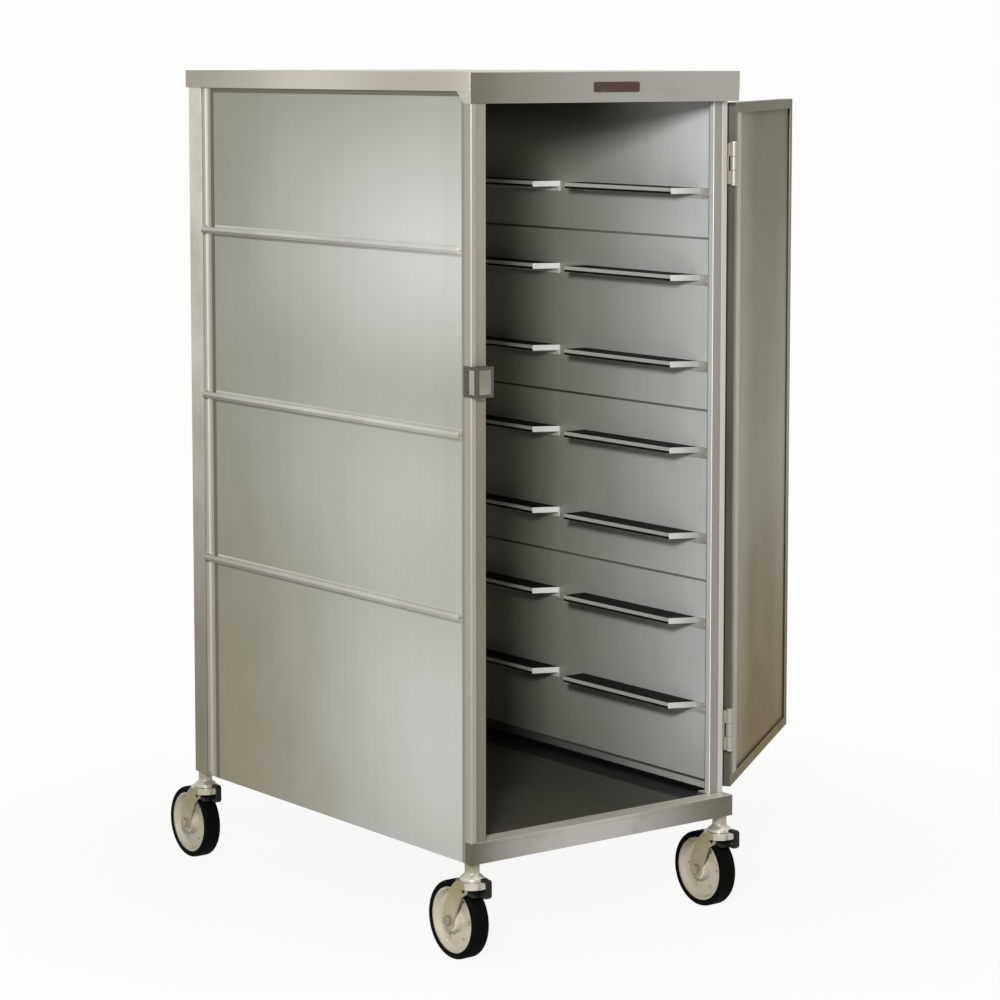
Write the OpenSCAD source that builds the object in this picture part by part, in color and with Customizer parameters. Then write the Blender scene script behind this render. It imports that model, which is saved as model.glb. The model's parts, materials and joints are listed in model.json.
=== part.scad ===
// Enclosed meal tray cart: a sheet metal cabinet on four swivel casters, with one
// side-hinged door and seven levels of tray ledges, two trays deep.
// Millimetres. Each sub-part is drawn in cabinet coordinates: x runs right from the
// left side, y runs back from the front face, z runs up from the floor.

/* [Cabinet] */
// Width of the cabinet over its posts
body_w = 546; // [520:1:640]
// Depth of the cabinet over its posts
body_d = 826; // [800:1:920]
// Height of the cabinet from the underside of its base to the top of its roof
body_h = 1243; // [1180:1:1400]
// Thickness of the roof, header and frame sheet
frame_sheet = 1.5; // [1:0.1:2.5]
// Thickness of the wall sheets
wall_sheet = 1.2; // [0.8:0.1:2]
// How far the wall sheets lie behind the outer face of the posts
wall_set = 1.5; // [1:0.1:4]

/* [Posts and base] */
// Width of a post across the cabinet
post_w = 30; // [26:1:34]
// Depth of a front post along the cabinet
post_d = 32; // [28:1:36]
// Depth of a rear post along the cabinet
rear_post_d = 42; // [36:1:46]
// Depth of the right front post's inner return, which leaves the wall in view
post_return = 12; // [8:1:16]
// Width of that post behind its inner return
post_waist = 14; // [10:1:18]
// Width of the raised outer strip on a post's front face
post_strip_w = 12; // [8:1:16]
// Height of that raised strip
post_strip_h = 1.5; // [1:0.1:2]
// Width of the post that shows beside the edge of a wall sheet
post_show = 17; // [14:1:20]
// Width of the door stop flange on the left front post
stop_w = 10; // [6:1:14]
// Height of the front sill
sill_h = 35; // [30:1:45]
// Height of the bright lip along the top of the sill
sill_lip_h = 6; // [4:1:10]
// Distance of the lip's ends from the corners
sill_lip_inset = 8; // [4:1:16]
// Height of the side and rear base rails
rail_h = 24.5; // [20:0.5:28]
// Height of the deck's upturned edges above the deck
deck_edge_h = 23; // [15:1:35]

/* [Roof and header] */
// Height of the rim round the roof
rim_h = 30; // [22:1:40]
// Gap between the roof's rim and the header's wrapped ends
rim_gap = 0; // [0:0.1:1]
// Height of the header over the door
header_h = 49; // [42:1:60]
// Depth of the header's bottom return
header_return = 20; // [12:1:20]
// Length of the header's wrapped end along the side, at its top
wrap_top = 40; // [32:1:60]
// Length of the header's wrapped end at its bottom edge
wrap_foot = 16; // [10:1:24]
// Height of the straight stretch at the wrapped end's top
wrap_straight = 25; // [20:1:30]

/* [Walls] */
// Height of the bottom wall sheet, up to the middle of the lowest rib
bottom_sheet_h = 391; // [300:1:420]
// Distance between the middles of two ribs
rib_pitch = 288; // [240:1:300]
// Height of a rib's outer bar
rib_h = 11; // [8:1:16]
// How far a rib stands out from the wall sheet
rib_out = 4; // [2.5:0.1:4.4]
// Gap between two wall sheets, filled by a rib's web
rib_web = 2; // [1:0.1:3]
// Height of a rib's inner bar
rib_inner_h = 8; // [6:1:12]
// Thickness of a rib's inner bar
rib_inner_t = 1; // [0.6:0.1:1.4]
// Width of the rounded bead down the rear edge of a side sheet
bead_w = 15; // [12:1:24]
// How far that bead stands out from the sheet
bead_out = 3; // [2:0.1:3.5]

/* [Tray ledges] */
// Height of the lowest ledge above the underside of the base
first_ledge = 179; // [150:1:190]
// Distance between two ledge levels
ledge_pitch = 145; // [125:1:147]
// Width of a ledge from the wall to its free edge
ledge_w = 46; // [36:1:52]
// Thickness of the ledge sheet
ledge_t = 1.5; // [1:0.1:2]
// Height of the turned-down lip at a ledge's free edge
ledge_lip = 10; // [7:1:14]
// Height of the flange that fixes a ledge to the wall
ledge_flange = 18; // [16:1:24]
// Distance from the front face to the start of the front ledge's flange
ledge_front = 58; // [58:1:70]
// Length of plain flange before the front ledge starts to widen
ledge_plain = 33; // [20:1:60]
// Length over which a ledge widens from the wall to its full width
ledge_lead = 20; // [15:1:60]
// Distance from the front face to the end of the front ledge
ledge_mid = 396; // [370:1:410]
// Gap between the front and the rear ledge
ledge_gap = 70; // [40:1:90]
// Gap between the rear ledge and the rear post
ledge_end_gap = 4; // [2:1:15]
// Radius of a rivet's head
rivet_r = 3.2; // [2.5:0.1:4]
// Height of a rivet's head
rivet_h = 1.2; // [0.8:0.1:1.4]
// Distance of a rivet below the top of its ledge
rivet_drop = 11; // [8:0.5:13]
// Distance of a rivet from the end of its flange
rivet_inset = 12; // [8:1:20]

/* [Door] */
// Thickness of the door
door_t = 20; // [16:1:24]
// Clearance between the door's free edge and the left post
door_side_gap = 2; // [1.5:0.5:5]
// Clearance above the door
door_top_gap = 3; // [2:0.5:8]
// Clearance below the door
door_foot_gap = 6; // [3:0.5:12]
// Width of the lip turned in round the door's inner face
door_lip = 17; // [16:1:24]
// Depth of the inner sheet behind the lip
door_inner_set = 5; // [3:0.5:8]
// Width of the stiffener along the hinge side of the door
stile_w = 35; // [25:1:50]
// How far the door stands open, from closed
open_angle = 217; // [180:1:220]

/* [Hinges] */
// Distance of the hinge pin outside the cabinet's right side
hinge_out = 10; // [9:0.5:12]
// Height of a hinge
hinge_h = 68; // [50:1:90]
// Distance of each hinge's middle from the end of the door
hinge_inset = 100; // [70:1:160]
// Radius of a hinge's barrel
barrel_r = 6.5; // [5.5:0.1:7.5]
// Radius of a hinge pin
pin_r = 3.5; // [2.5:0.1:4]
// Radial clearance of a pin in its bore
pin_clear = 0.05; // [0.02:0.01:0.1]
// Thickness of the leaf on the door
door_leaf_t = 2; // [1.5:0.1:3]
// Thickness of the leaf on the cabinet
post_leaf_t = 2.5; // [1.5:0.1:3]
// Gap between two knuckles of a hinge
knuckle_gap = 0.4; // [0.3:0.1:1]
// Room between a leaf's screws and the post when the door is closed
leaf_room = 2; // [1.6:0.1:4]

/* [Latch] */
// Height of the latch above the underside of the base
latch_h = 765; // [600:1:850]
// Height of the keeper
keeper_h = 48; // [40:1:60]
// Width of the keeper across the post
keeper_w = 31; // [29:1:31]
// How far the keeper stands out in front of the post
keeper_out = 18; // [16.5:0.5:24]
// Width of the frame round the raised pads on the keeper's faces
keeper_frame = 5; // [4:0.5:7]
// How far those pads stand out
keeper_pad = 1; // [0.5:0.1:1.5]
// Thickness of the keeper's walls
keeper_wall = 4; // [3:0.5:5]
// Thickness of the lever
lever_t = 7; // [5:0.5:8]
// Width of the lever
lever_w = 14; // [10:1:16]
// Length of the lever from its pivot to its tip
lever_l = 57; // [50:1:58]
// Distance of the lever's pivot from the door's free edge
lever_inset = 33; // [30:1:36]
// Clearance of the lever in the keeper's slot
lever_clear = 1; // [0.5:0.1:1.5]
// Thickness of the latch's base plate
latch_plate = 4; // [3:0.5:5]
// Angle that the lifted lever leans back past upright
lever_lean = 10; // [5:1:15]

/* [Casters] */
// Radius of a caster wheel
wheel_r = 63.5; // [60:0.5:64]
// Height of a caster from the floor to the underside of the base
caster_h = 162; // [158:1:175]
// Distance of a caster's swivel axis from the cabinet's side
caster_inset = 14; // [12:1:18]
// Distance of a front caster's swivel axis from the front face
caster_front = 17; // [14:1:24]
// Distance of a rear caster's swivel axis from the rear face
caster_rear = 12; // [12:1:20]
// Distance of the wheel's axle behind the swivel axis
trail = 36; // [32:1:38]
// Width of the tyre
tyre_w = 30; // [26:1:32]
// Thickness of the tyre
tyre_t = 10; // [7:1:12]
// Width of the wheel's hub
hub_w = 34; // [33:0.5:35]
// Radius of the wheel's hub
hub_r = 18; // [14:1:20]
// Radius of the axle
axle_r = 5; // [4:0.5:6]
// Thickness of the fork's sheet
fork_t = 3; // [2:0.5:4]
// Space between the fork's legs
fork_gap = 36; // [36:0.5:38]
// Radius of the fork's crown
crown_r = 26; // [25:1:28]
// Radius of the kingpin
kingpin_r = 6; // [5:0.5:8]
// Radius of the caster's neck under the base
neck_r = 12; // [10:1:12]
// Width of the brake pedal's toe piece
toe_w = 9; // [8:1:16]
// Reach of the brake pedal in front of the crown
toe_reach = 20; // [16:1:24]
// Angle that the brake pedal goes down
pedal_travel = 10; // [6:1:12]

/* [Hidden] */
$fn = 48;

steel = [0.74, 0.74, 0.71];
bright = [0.82, 0.82, 0.80];
dark_steel = [0.30, 0.30, 0.28];
zinc = [0.78, 0.77, 0.72];
black = [0.08, 0.08, 0.08];
cream = [0.78, 0.75, 0.68];

// A joint hair that keeps two cuts from ending on the same face
hair = 0.01;

base_z = caster_h;
roof_z = base_z + body_h;
sill_z = base_z + sill_h;
deck_z = base_z + rail_h + frame_sheet;
header_z = roof_z - header_h;
rim_z = roof_z - rim_h;
post_top = roof_z - frame_sheet;

// A wall sheet's inner face lies this far inside the posts' outer face
wall_in = wall_set + wall_sheet;
overhang = 2 * frame_sheet + rim_gap;

// The right front post stands back so that the closed door lies in front of it
post_recess = door_t + door_leaf_t + leaf_room;
right_post_back = post_recess + post_d;
rear_post_y = body_d - rear_post_d;

rib_levels = [for (i = [0:2]) base_z + bottom_sheet_h + i * rib_pitch];
sheet_edges = concat([base_z], rib_levels, [post_top]);

ledge_levels = [for (i = [0:6]) base_z + first_ledge + i * ledge_pitch];
rear_ledge_y = ledge_mid + ledge_gap;
rear_ledge_end = rear_post_y - ledge_end_gap;

door_left = post_w + door_side_gap;
door_w = body_w - door_left;
door_z = sill_z + door_foot_gap;
door_top = header_z - door_top_gap;
door_h = door_top - door_z;
pin_x = body_w + hinge_out;
pin_y = door_t;
hinge_levels = [door_z + hinge_inset, door_top - hinge_inset];
knuckle_h = (hinge_h - 2 * knuckle_gap) / 3;
leaf_w = door_lip - 0.5;
screw_r = 3;
screw_h = 1.2;

latch_z = base_z + latch_h;
lever_x = door_left + lever_inset;
lever_y = -latch_plate - lever_clear;
keeper_plate = 2.5;
bolt_r = 4;

crown_z = wheel_r * 2 + 3;
crown_top = crown_z + fork_t + 1;
race_gap = 0.3;
axle_end = fork_gap / 2 + fork_t;
nut_h = 5;
pedal_y = -4;
pedal_z = crown_z - 10;
pedal_reach = crown_r + toe_reach;
pedal_pin_r = 4;

// The row's origin: the middle of the whole cart's box, door open, at the floor
door_reach = pin_x - (door_w + hinge_out) * cos(open_angle);
box_left = caster_inset - axle_end - nut_h;
box_front = caster_front - pedal_reach;
box_back = body_d - caster_rear + trail + wheel_r;
origin = [(box_left + door_reach) / 2, (box_front + box_back) / 2, 0];

caster_places = [
    [caster_inset, caster_front],
    [body_w - caster_inset, caster_front],
    [caster_inset, body_d - caster_rear],
    [body_w - caster_inset, body_d - caster_rear],
];

// ---- placing ----

module placed() {
    translate(-origin) children();
}

// A box from its low corner to its high corner
module block(low, high) {
    translate(low) cube(high - low);
}

// Draws its children, and again mirrored about the cabinet's middle
module both_sides() {
    children();
    translate([body_w, 0, 0]) mirror([1, 0, 0]) children();
}

module right_side() {
    translate([body_w, 0, 0]) mirror([1, 0, 0]) children();
}

// Turns a piece drawn on the closed door to where the door stands
module on_door() {
    placed() translate([pin_x, pin_y, 0]) rotate([0, 0, open_angle])
        translate([-pin_x, -pin_y, 0]) children();
}

module at_caster(i) {
    placed() translate([caster_places[i].x, caster_places[i].y, 0]) children();
}

// Lays an outline drawn in y and z upright, and gives it a thickness along x
module side_plate(x, t) {
    translate([x, 0, 0]) rotate([90, 0, 90]) linear_extrude(t) children();
}

// ---- base ----

module base_front_sill() {
    color(steel) placed() difference() {
        union() {
            block([0, 0, base_z], [body_w, post_d, sill_z]);
            block([sill_lip_inset, -frame_sheet, sill_z - sill_lip_h],
                [body_w - sill_lip_inset, hair, sill_z]);
            block([body_w - post_w, post_d - hair, base_z],
                [body_w, right_post_back, sill_z]);
        }
        // laps for the side sheets
        block([-1, post_show, base_z - 1], [wall_in, post_d + 1, sill_z + 1]);
        block([body_w - wall_in, post_recess + post_show, base_z - 1],
            [body_w + 1, right_post_back + 1, sill_z + 1]);
        // the sill is a channel, open below
        block([post_w, frame_sheet, base_z - 1],
            [body_w - post_w, post_d - frame_sheet, sill_z - frame_sheet]);
    }
}

module base_rear_rail() {
    color(steel) placed() difference() {
        block([post_w, rear_post_y, base_z], [body_w - post_w, body_d - wall_in, deck_z - frame_sheet]);
        block([post_w - 1, rear_post_y + frame_sheet, base_z - 1],
            [body_w - post_w + 1, body_d - wall_in - frame_sheet, deck_z - 2 * frame_sheet]);
    }
}

module side_rail(front) {
    difference() {
        block([wall_in, front, base_z], [post_w, rear_post_y, deck_z - frame_sheet]);
        block([wall_in + frame_sheet, front - 1, base_z - 1],
            [post_w - frame_sheet, rear_post_y + 1, deck_z - 2 * frame_sheet]);
    }
}

module base_side_rails() {
    color(steel) placed() {
        side_rail(post_d);
        right_side() side_rail(right_post_back);
    }
}

module deck_pan() {
    bottom = deck_z - frame_sheet;
    edge = deck_z + deck_edge_h;
    color(dark_steel) placed() difference() {
        union() {
            block([wall_in, post_d, bottom], [body_w - wall_in, body_d - wall_in, deck_z]);
            block([wall_in, post_d, bottom], [wall_in + frame_sheet, rear_post_y, edge]);
            block([body_w - wall_in - frame_sheet, right_post_back, bottom],
                [body_w - wall_in, rear_post_y, edge]);
            block([post_w, body_d - wall_in - frame_sheet, bottom],
                [body_w - post_w, body_d - wall_in, edge]);
            block([post_w, post_d, bottom], [body_w - post_w, post_d + frame_sheet, sill_z]);
        }
        both_sides() block([-1, rear_post_y, bottom - 1], [post_w, body_d + 1, edge + 1]);
        block([body_w - post_w, post_d - 1, bottom - 1], [body_w, right_post_back, edge + 1]);
    }
}

// ---- posts ----

// A front post's outline: raised outer strip, and a lap for the side sheet. Its inner side
// is deep, or returns early and leaves a narrow waist
module front_post_outline(inset, return_d) {
    round_r = 3;
    low = inset;
    inner_side = return_d < post_d
        ? [[post_w - inset, return_d - inset], [post_waist - inset, return_d - inset],
            [post_waist - inset, post_d - inset]]
        : [[post_w - inset, post_d - inset]];
    polygon(concat([
        [low + round_r, low], [post_strip_w - inset, low],
        [post_strip_w - inset, post_strip_h + inset], [post_w - inset, post_strip_h + inset],
    ], inner_side, [
        [wall_in + inset, post_d - inset], [wall_in + inset, post_show - inset],
        [low, post_show - inset], [low, low + round_r],
    ]));
    translate([low + round_r, low + round_r]) circle(round_r);
}

module front_post_section(return_d) {
    difference() {
        front_post_outline(0, return_d);
        front_post_outline(frame_sheet, return_d);
    }
}

module front_left_post() {
    color(bright) placed() translate([0, 0, sill_z]) linear_extrude(post_top - sill_z) {
        front_post_section(post_d);
        translate([post_w - hair, post_recess]) square([stop_w + hair, frame_sheet]);
    }
}

module front_right_post() {
    color(bright) placed() right_side() translate([0, post_recess, sill_z])
        linear_extrude(post_top - sill_z) front_post_section(post_return);
}

// A rear post's outline, with a lap for the rear sheets
module rear_post_outline(inset) {
    round_r = 3;
    lap = rear_post_d - wall_in;
    translate([0, rear_post_y]) {
        polygon([
            [inset, inset], [post_w - inset, inset], [post_w - inset, lap - inset],
            [post_show - inset, lap - inset], [post_show - inset, rear_post_d - inset],
            [inset + round_r, rear_post_d - inset], [inset, rear_post_d - inset - round_r],
        ]);
        translate([inset + round_r, rear_post_d - inset - round_r]) circle(round_r);
    }
}

module rear_posts() {
    color(bright) placed() both_sides() translate([0, 0, base_z]) linear_extrude(post_top - base_z)
        difference() {
            rear_post_outline(0);
            rear_post_outline(frame_sheet);
        }
}

// ---- roof ----

module header_wrap() {
    side_plate(-frame_sheet, frame_sheet) polygon([
        [-frame_sheet, header_z], [wrap_foot, header_z], [wrap_top, roof_z - wrap_straight],
        [wrap_top, post_top], [-frame_sheet, post_top],
    ]);
}

module front_header() {
    color(bright) placed() {
        block([-hair, -frame_sheet, header_z], [body_w + hair, 0, post_top]);
        both_sides() header_wrap();
        block([post_w, -hair, header_z], [body_w, header_return, header_z + frame_sheet]);
    }
}

module roof_pan() {
    left = -overhang;
    right = body_w + overhang;
    back = body_d + overhang;
    color(bright) placed() {
        block([left, -frame_sheet, post_top], [right, back, roof_z]);
        both_sides() block([left, -frame_sheet, rim_z], [left + frame_sheet, back, post_top + hair]);
        block([left, back - frame_sheet, rim_z], [right, back, post_top + hair]);
    }
}

// ---- walls ----

// The rounded bead: a shallow arc that stands out from the sheet
module bead_outline() {
    arc_r = (pow(bead_w / 2, 2) + pow(bead_out, 2)) / (2 * bead_out);
    intersection() {
        translate([wall_set + arc_r - bead_out, rear_post_y - bead_w / 2]) circle(arc_r, $fn = 96);
        translate([wall_set - bead_out - 1, rear_post_y - bead_w])
            square([bead_out + 1 + wall_sheet / 2, bead_w]);
    }
}

// One sheet of a side wall, from one rib's middle to the next
module side_sheet(low, high, front) {
    block([wall_set, front, low], [wall_in, rear_post_y, high]);
    bead_low = low + rib_h / 2 + 1;
    bead_high = min(high - rib_h / 2 - 1, rim_z - 1);
    translate([0, 0, bead_low]) linear_extrude(bead_high - bead_low) bead_outline();
}

// Low and high end of wall sheet i; the bottom and top ones meet no rib at one end
function sheet_low(i) = sheet_edges[i] + (i > 0 ? rib_web / 2 : 0);
function sheet_high(i) = sheet_edges[i + 1] - (i < 3 ? rib_web / 2 : 0);

module side_sheets(front) {
    for (i = [0:3]) side_sheet(sheet_low(i), sheet_high(i), front);
}

module left_side_sheets() {
    color(steel) placed() side_sheets(post_show);
}

module right_side_sheets() {
    color(steel) placed() right_side() side_sheets(post_recess + post_show);
}

module rear_sheets() {
    color(steel) placed() for (i = [0:3])
        block([post_show, body_d - wall_in, sheet_low(i)],
            [body_w - post_show, body_d - wall_set, sheet_high(i)]);
}

// A rib's section: outer bar, web between two sheets, inner bar
module rib_section() {
    translate([-rib_out, -rib_h / 2]) square([rib_out, rib_h]);
    translate([-hair, -rib_web / 2]) square([wall_sheet + 2 * hair, rib_web]);
    translate([wall_sheet, -rib_inner_h / 2]) square([rib_inner_t, rib_inner_h]);
}

// Lays the rib's section along y, on the left wall
module side_ribs(front) {
    for (level = rib_levels)
        translate([wall_set, rear_post_y, level]) rotate([90, 0, 0])
            linear_extrude(rear_post_y - front) rib_section();
}

module left_side_ribs() {
    color(bright) placed() side_ribs(post_d);
}

module right_side_ribs() {
    color(bright) placed() right_side() side_ribs(right_post_back);
}

module rear_ribs() {
    color(bright) placed() for (level = rib_levels)
        translate([post_w, body_d - wall_set, level]) rotate([0, 0, -90]) rotate([90, 0, 0])
            mirror([0, 0, 1]) linear_extrude(body_w - 2 * post_w) rib_section();
}

// ---- tray ledges ----

// A ledge seen from above, on the left wall: it widens over its lead-in
module ledge_outline(start, end) {
    polygon([
        [wall_in, start], [wall_in + ledge_w, start + ledge_lead],
        [wall_in + ledge_w, end], [wall_in, end],
    ]);
}

// One ledge: flange on the wall, shelf, and lip down along the free edge
module ledge(level, flange_start, start, end) {
    block([wall_in, flange_start, level - ledge_flange], [wall_in + ledge_t, end, level]);
    translate([0, 0, level - ledge_t]) linear_extrude(ledge_t) ledge_outline(start, end);
    translate([0, 0, level - ledge_lip]) linear_extrude(ledge_lip) difference() {
        ledge_outline(start, end);
        translate([-ledge_t, ledge_t]) ledge_outline(start, end);
    }
}

module tray_ledges(i) {
    color(bright) placed() both_sides() {
        ledge(ledge_levels[i], ledge_front, ledge_front + ledge_plain, ledge_mid);
        ledge(ledge_levels[i], rear_ledge_y, rear_ledge_y, rear_ledge_end);
    }
}

// A low domed head, its flat back on z = 0
module rivet_head(r, h) {
    dome_r = (r * r + h * h) / (2 * h);
    intersection() {
        translate([0, 0, h - dome_r]) sphere(dome_r);
        cylinder(r = r + 1, h = h + 1);
    }
}

module ledge_rivets() {
    places = [
        ledge_front + rivet_inset, ledge_mid - rivet_inset,
        rear_ledge_y + rivet_inset, rear_ledge_end - rivet_inset,
    ];
    color(zinc) placed() both_sides() for (level = ledge_levels) for (y = places)
        translate([wall_in + ledge_t, y, level - rivet_drop]) rotate([0, 90, 0])
            rivet_head(rivet_r, rivet_h);
}

// ---- door, drawn closed ----

module door_outer_pan() {
    color(steel) on_door() difference() {
        block([door_left, 0, door_z], [body_w, door_t, door_top]);
        block([door_left + frame_sheet, frame_sheet, door_z + frame_sheet],
            [body_w - frame_sheet, door_t - frame_sheet, door_top - frame_sheet]);
        block([door_left + door_lip, door_t / 2, door_z + door_lip],
            [body_w - door_lip, door_t + 1, door_top - door_lip]);
    }
}

module door_inner_sheet() {
    face = door_t - door_inner_set;
    color(steel) on_door() block([door_left + frame_sheet, face - wall_sheet, door_z + frame_sheet],
        [body_w - frame_sheet, face, door_top - frame_sheet]);
}

module door_hinge_stile() {
    face = door_t - door_inner_set;
    right = body_w - door_lip;
    low = door_z + door_lip;
    high = door_top - door_lip;
    color(bright) on_door() difference() {
        block([right - stile_w, face, low], [right, door_t - 0.5, high]);
        block([right - stile_w + wall_sheet, face - 1, low + wall_sheet],
            [right - wall_sheet, door_t - 0.5 - wall_sheet, high - wall_sheet]);
    }
}

// ---- hinges ----

// One knuckle round the pin, with its bore
module knuckle(low, high) {
    translate([pin_x, pin_y, low]) difference() {
        cylinder(r = barrel_r, h = high - low);
        translate([0, 0, -1]) cylinder(r = pin_r + pin_clear, h = high - low + 2);
    }
}

// Takes the pin's bore out of a web that reaches into a knuckle
module web(low, high) {
    difference() {
        block(low, high);
        translate([pin_x, pin_y, low.z - 1])
            cylinder(r = barrel_r - 1, h = high.z - low.z + 2);
    }
}

module post_leaf(level) {
    low = level - hinge_h / 2;
    high = level + hinge_h / 2;
    front = pin_y + 0.5;
    block([body_w, post_recess, low], [body_w + post_leaf_t, post_recess + post_show - 0.5, high]);
    for (end = [[low, low + knuckle_h], [high - knuckle_h, high]]) {
        knuckle(end[0], end[1]);
        web([body_w, front, end[0]], [pin_x, front + post_leaf_t, end[1]]);
        block([body_w, front, end[0]], [body_w + post_leaf_t, post_recess + hair, end[1]]);
    }
}

module door_leaf(level) {
    low = level - hinge_h / 2;
    middle_low = low + knuckle_h + knuckle_gap;
    middle_high = middle_low + knuckle_h;
    block([body_w - leaf_w, door_t, low], [body_w - 0.5, door_t + door_leaf_t, low + hinge_h]);
    knuckle(middle_low, middle_high);
    web([body_w - 1, door_t, middle_low], [pin_x, door_t + door_leaf_t, middle_high]);
}

module hinge_post_leaves() {
    color(bright) placed() for (level = hinge_levels) post_leaf(level);
}

module hinge_door_leaves() {
    color(bright) on_door() for (level = hinge_levels) door_leaf(level);
}

module hinge_pins() {
    head_h = 2;
    color(zinc) placed() for (level = hinge_levels)
        translate([pin_x, pin_y, level - hinge_h / 2 - head_h]) {
            cylinder(r = pin_r, h = hinge_h + 2 * head_h);
            cylinder(r = pin_r + 1.5, h = head_h);
            translate([0, 0, hinge_h + head_h]) cylinder(r = pin_r + 1.5, h = head_h);
        }
}

module hinge_post_screws() {
    y = post_recess + post_show / 2;
    color(zinc) placed() for (level = hinge_levels) for (side = [-1, 1])
        translate([body_w + post_leaf_t, y, level + side * hinge_h / 4]) rotate([0, 90, 0])
            rivet_head(screw_r, screw_h);
}

module hinge_door_screws() {
    x = body_w - door_lip / 2;
    color(zinc) on_door() for (level = hinge_levels) for (side = [-1, 1])
        translate([x, door_t + door_leaf_t, level + side * hinge_h / 3]) rotate([-90, 0, 0])
            rivet_head(screw_r, screw_h);
}

// ---- latch ----

slot_back = lever_y + lever_clear;
slot_front = lever_y - lever_t - lever_clear;

module latch_keeper() {
    low = latch_z - keeper_h / 2;
    high = latch_z + keeper_h / 2;
    color(zinc) placed() difference() {
        union() {
            block([-keeper_plate, -keeper_out, low], [keeper_w, 0, high]);
            block([-keeper_plate, -hair, low], [0, post_show, high]);
            block([keeper_frame - keeper_plate, -keeper_out - keeper_pad, low + keeper_frame],
                [keeper_w - keeper_frame, -keeper_out + hair, high - keeper_frame]);
            block([-keeper_plate - keeper_pad, keeper_frame - keeper_out, low + keeper_frame],
                [hair - keeper_plate, 0, high - keeper_frame]);
        }
        // the slot that the lever drops into, open above and towards the door
        block([keeper_wall, slot_front, latch_z - lever_w / 2 - lever_clear],
            [keeper_w + 1, slot_back, high + 1]);
    }
}

module keeper_screws() {
    color(zinc) placed() for (side = [-1, 1])
        translate([-keeper_plate, post_show / 2, latch_z + side * keeper_h / 3])
            rotate([0, -90, 0]) rivet_head(screw_r, screw_h);
}

// The base plate on the door's outer face, with the stop that the lifted lever leans on
module latch_plate_base() {
    stop_r = 3;
    along = 30;
    aside = lever_w / 2 + stop_r + 0.3;
    stop_x = along * sin(lever_lean) + aside * cos(lever_lean);
    stop_z = along * cos(lever_lean) - aside * sin(lever_lean);
    color(zinc) on_door() difference() {
        union() {
            block([lever_x - 18, -latch_plate, latch_z - 26],
                [lever_x + stop_x + 8, 0, latch_z + stop_z + 10]);
            translate([lever_x + stop_x, 0, latch_z + stop_z]) rotate([90, 0, 0])
                cylinder(r = stop_r, h = -slot_front - lever_clear);
            translate([lever_x, 0, latch_z]) rotate([90, 0, 0])
                cylinder(r = lever_w / 2, h = -lever_y - 0.1);
        }
        translate([lever_x, 1, latch_z]) rotate([90, 0, 0])
            cylinder(r = bolt_r + pin_clear, h = -slot_front + 5);
    }
}

module latch_screws() {
    places = [[-10, -19], [10, -19], [22, 22]];
    color(zinc) on_door() for (p = places)
        translate([lever_x + p.x, -latch_plate, latch_z + p.y]) rotate([90, 0, 0])
            rivet_head(screw_r, screw_h);
}

module latch_pivot_bolt() {
    head = lever_y - lever_t - 0.3;
    color(zinc) on_door() translate([lever_x, 0, latch_z]) rotate([90, 0, 0]) {
        cylinder(r = bolt_r, h = -head + hair);
        translate([0, 0, -head]) cylinder(r = bolt_r + 4, h = 4, $fn = 6);
    }
}

module latch_lever() {
    knob_r = 5.5;
    knob_h = 16;
    knob_at = lever_inset - 6;
    color(bright) on_door() translate([lever_x, lever_y, latch_z]) rotate([0, lever_lean, 0]) difference() {
        union() {
            rotate([90, 0, 0]) cylinder(r = lever_w / 2 + 2, h = lever_t);
            block([-lever_w / 2, -lever_t, 0], [lever_w / 2, 0, lever_l - lever_w / 2]);
            translate([0, 0, lever_l - lever_w / 2]) rotate([90, 0, 0])
                cylinder(r = lever_w / 2, h = lever_t);
            translate([0, -lever_t + hair, knob_at]) rotate([90, 0, 0]) {
                cylinder(r = knob_r - 2, h = knob_h - knob_r);
                translate([0, 0, knob_h - knob_r]) sphere(knob_r);
            }
        }
        translate([0, 1, 0]) rotate([90, 0, 0]) cylinder(r = bolt_r + pin_clear, h = lever_t + 2);
    }
}

// ---- casters, drawn round their own swivel axis ----

// The fixed half of a caster: neck, upper race, kingpin and its riveted head
module caster_stem() {
    race_r = crown_r - 6;
    race_z = crown_top + race_gap;
    head_top = crown_z - race_gap;
    rotate_extrude() polygon([
        [0, head_top - 4], [kingpin_r + 2, head_top - 4], [kingpin_r + 4, head_top - 2],
        [kingpin_r + 4, head_top], [kingpin_r, head_top], [kingpin_r, race_z], [race_r, race_z],
        [race_r, race_z + 4], [race_r - 3, race_z + 7], [neck_r + 2, race_z + 9],
        [neck_r, race_z + 12], [neck_r, base_z], [0, base_z],
    ]);
}

module caster_stems() {
    color(zinc) for (i = [0:3]) at_caster(i) caster_stem();
}

// A fork leg's outline, seen from the side: wide at the crown, round at the axle
module fork_leg_outline() {
    eye_r = 14;
    difference() {
        union() {
            polygon([
                [-crown_r / 2, crown_z + 1], [crown_r * 0.68, crown_z + 1],
                [trail - 5, crown_z - 12], [trail + eye_r - 2, wheel_r + 24],
                [trail + eye_r - 0.5, wheel_r + 4], [trail + eye_r - 4, wheel_r - 8],
                [trail - eye_r + 2, wheel_r - 6], [trail - eye_r, wheel_r + 2],
                [4, pedal_z - 14], [pedal_y - 8, pedal_z - 4],
            ]);
            translate([trail, wheel_r]) circle(eye_r);
        }
        translate([trail, wheel_r]) circle(axle_r + pin_clear);
        translate([pedal_y, pedal_z]) circle(pedal_pin_r + pin_clear);
    }
}

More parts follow.
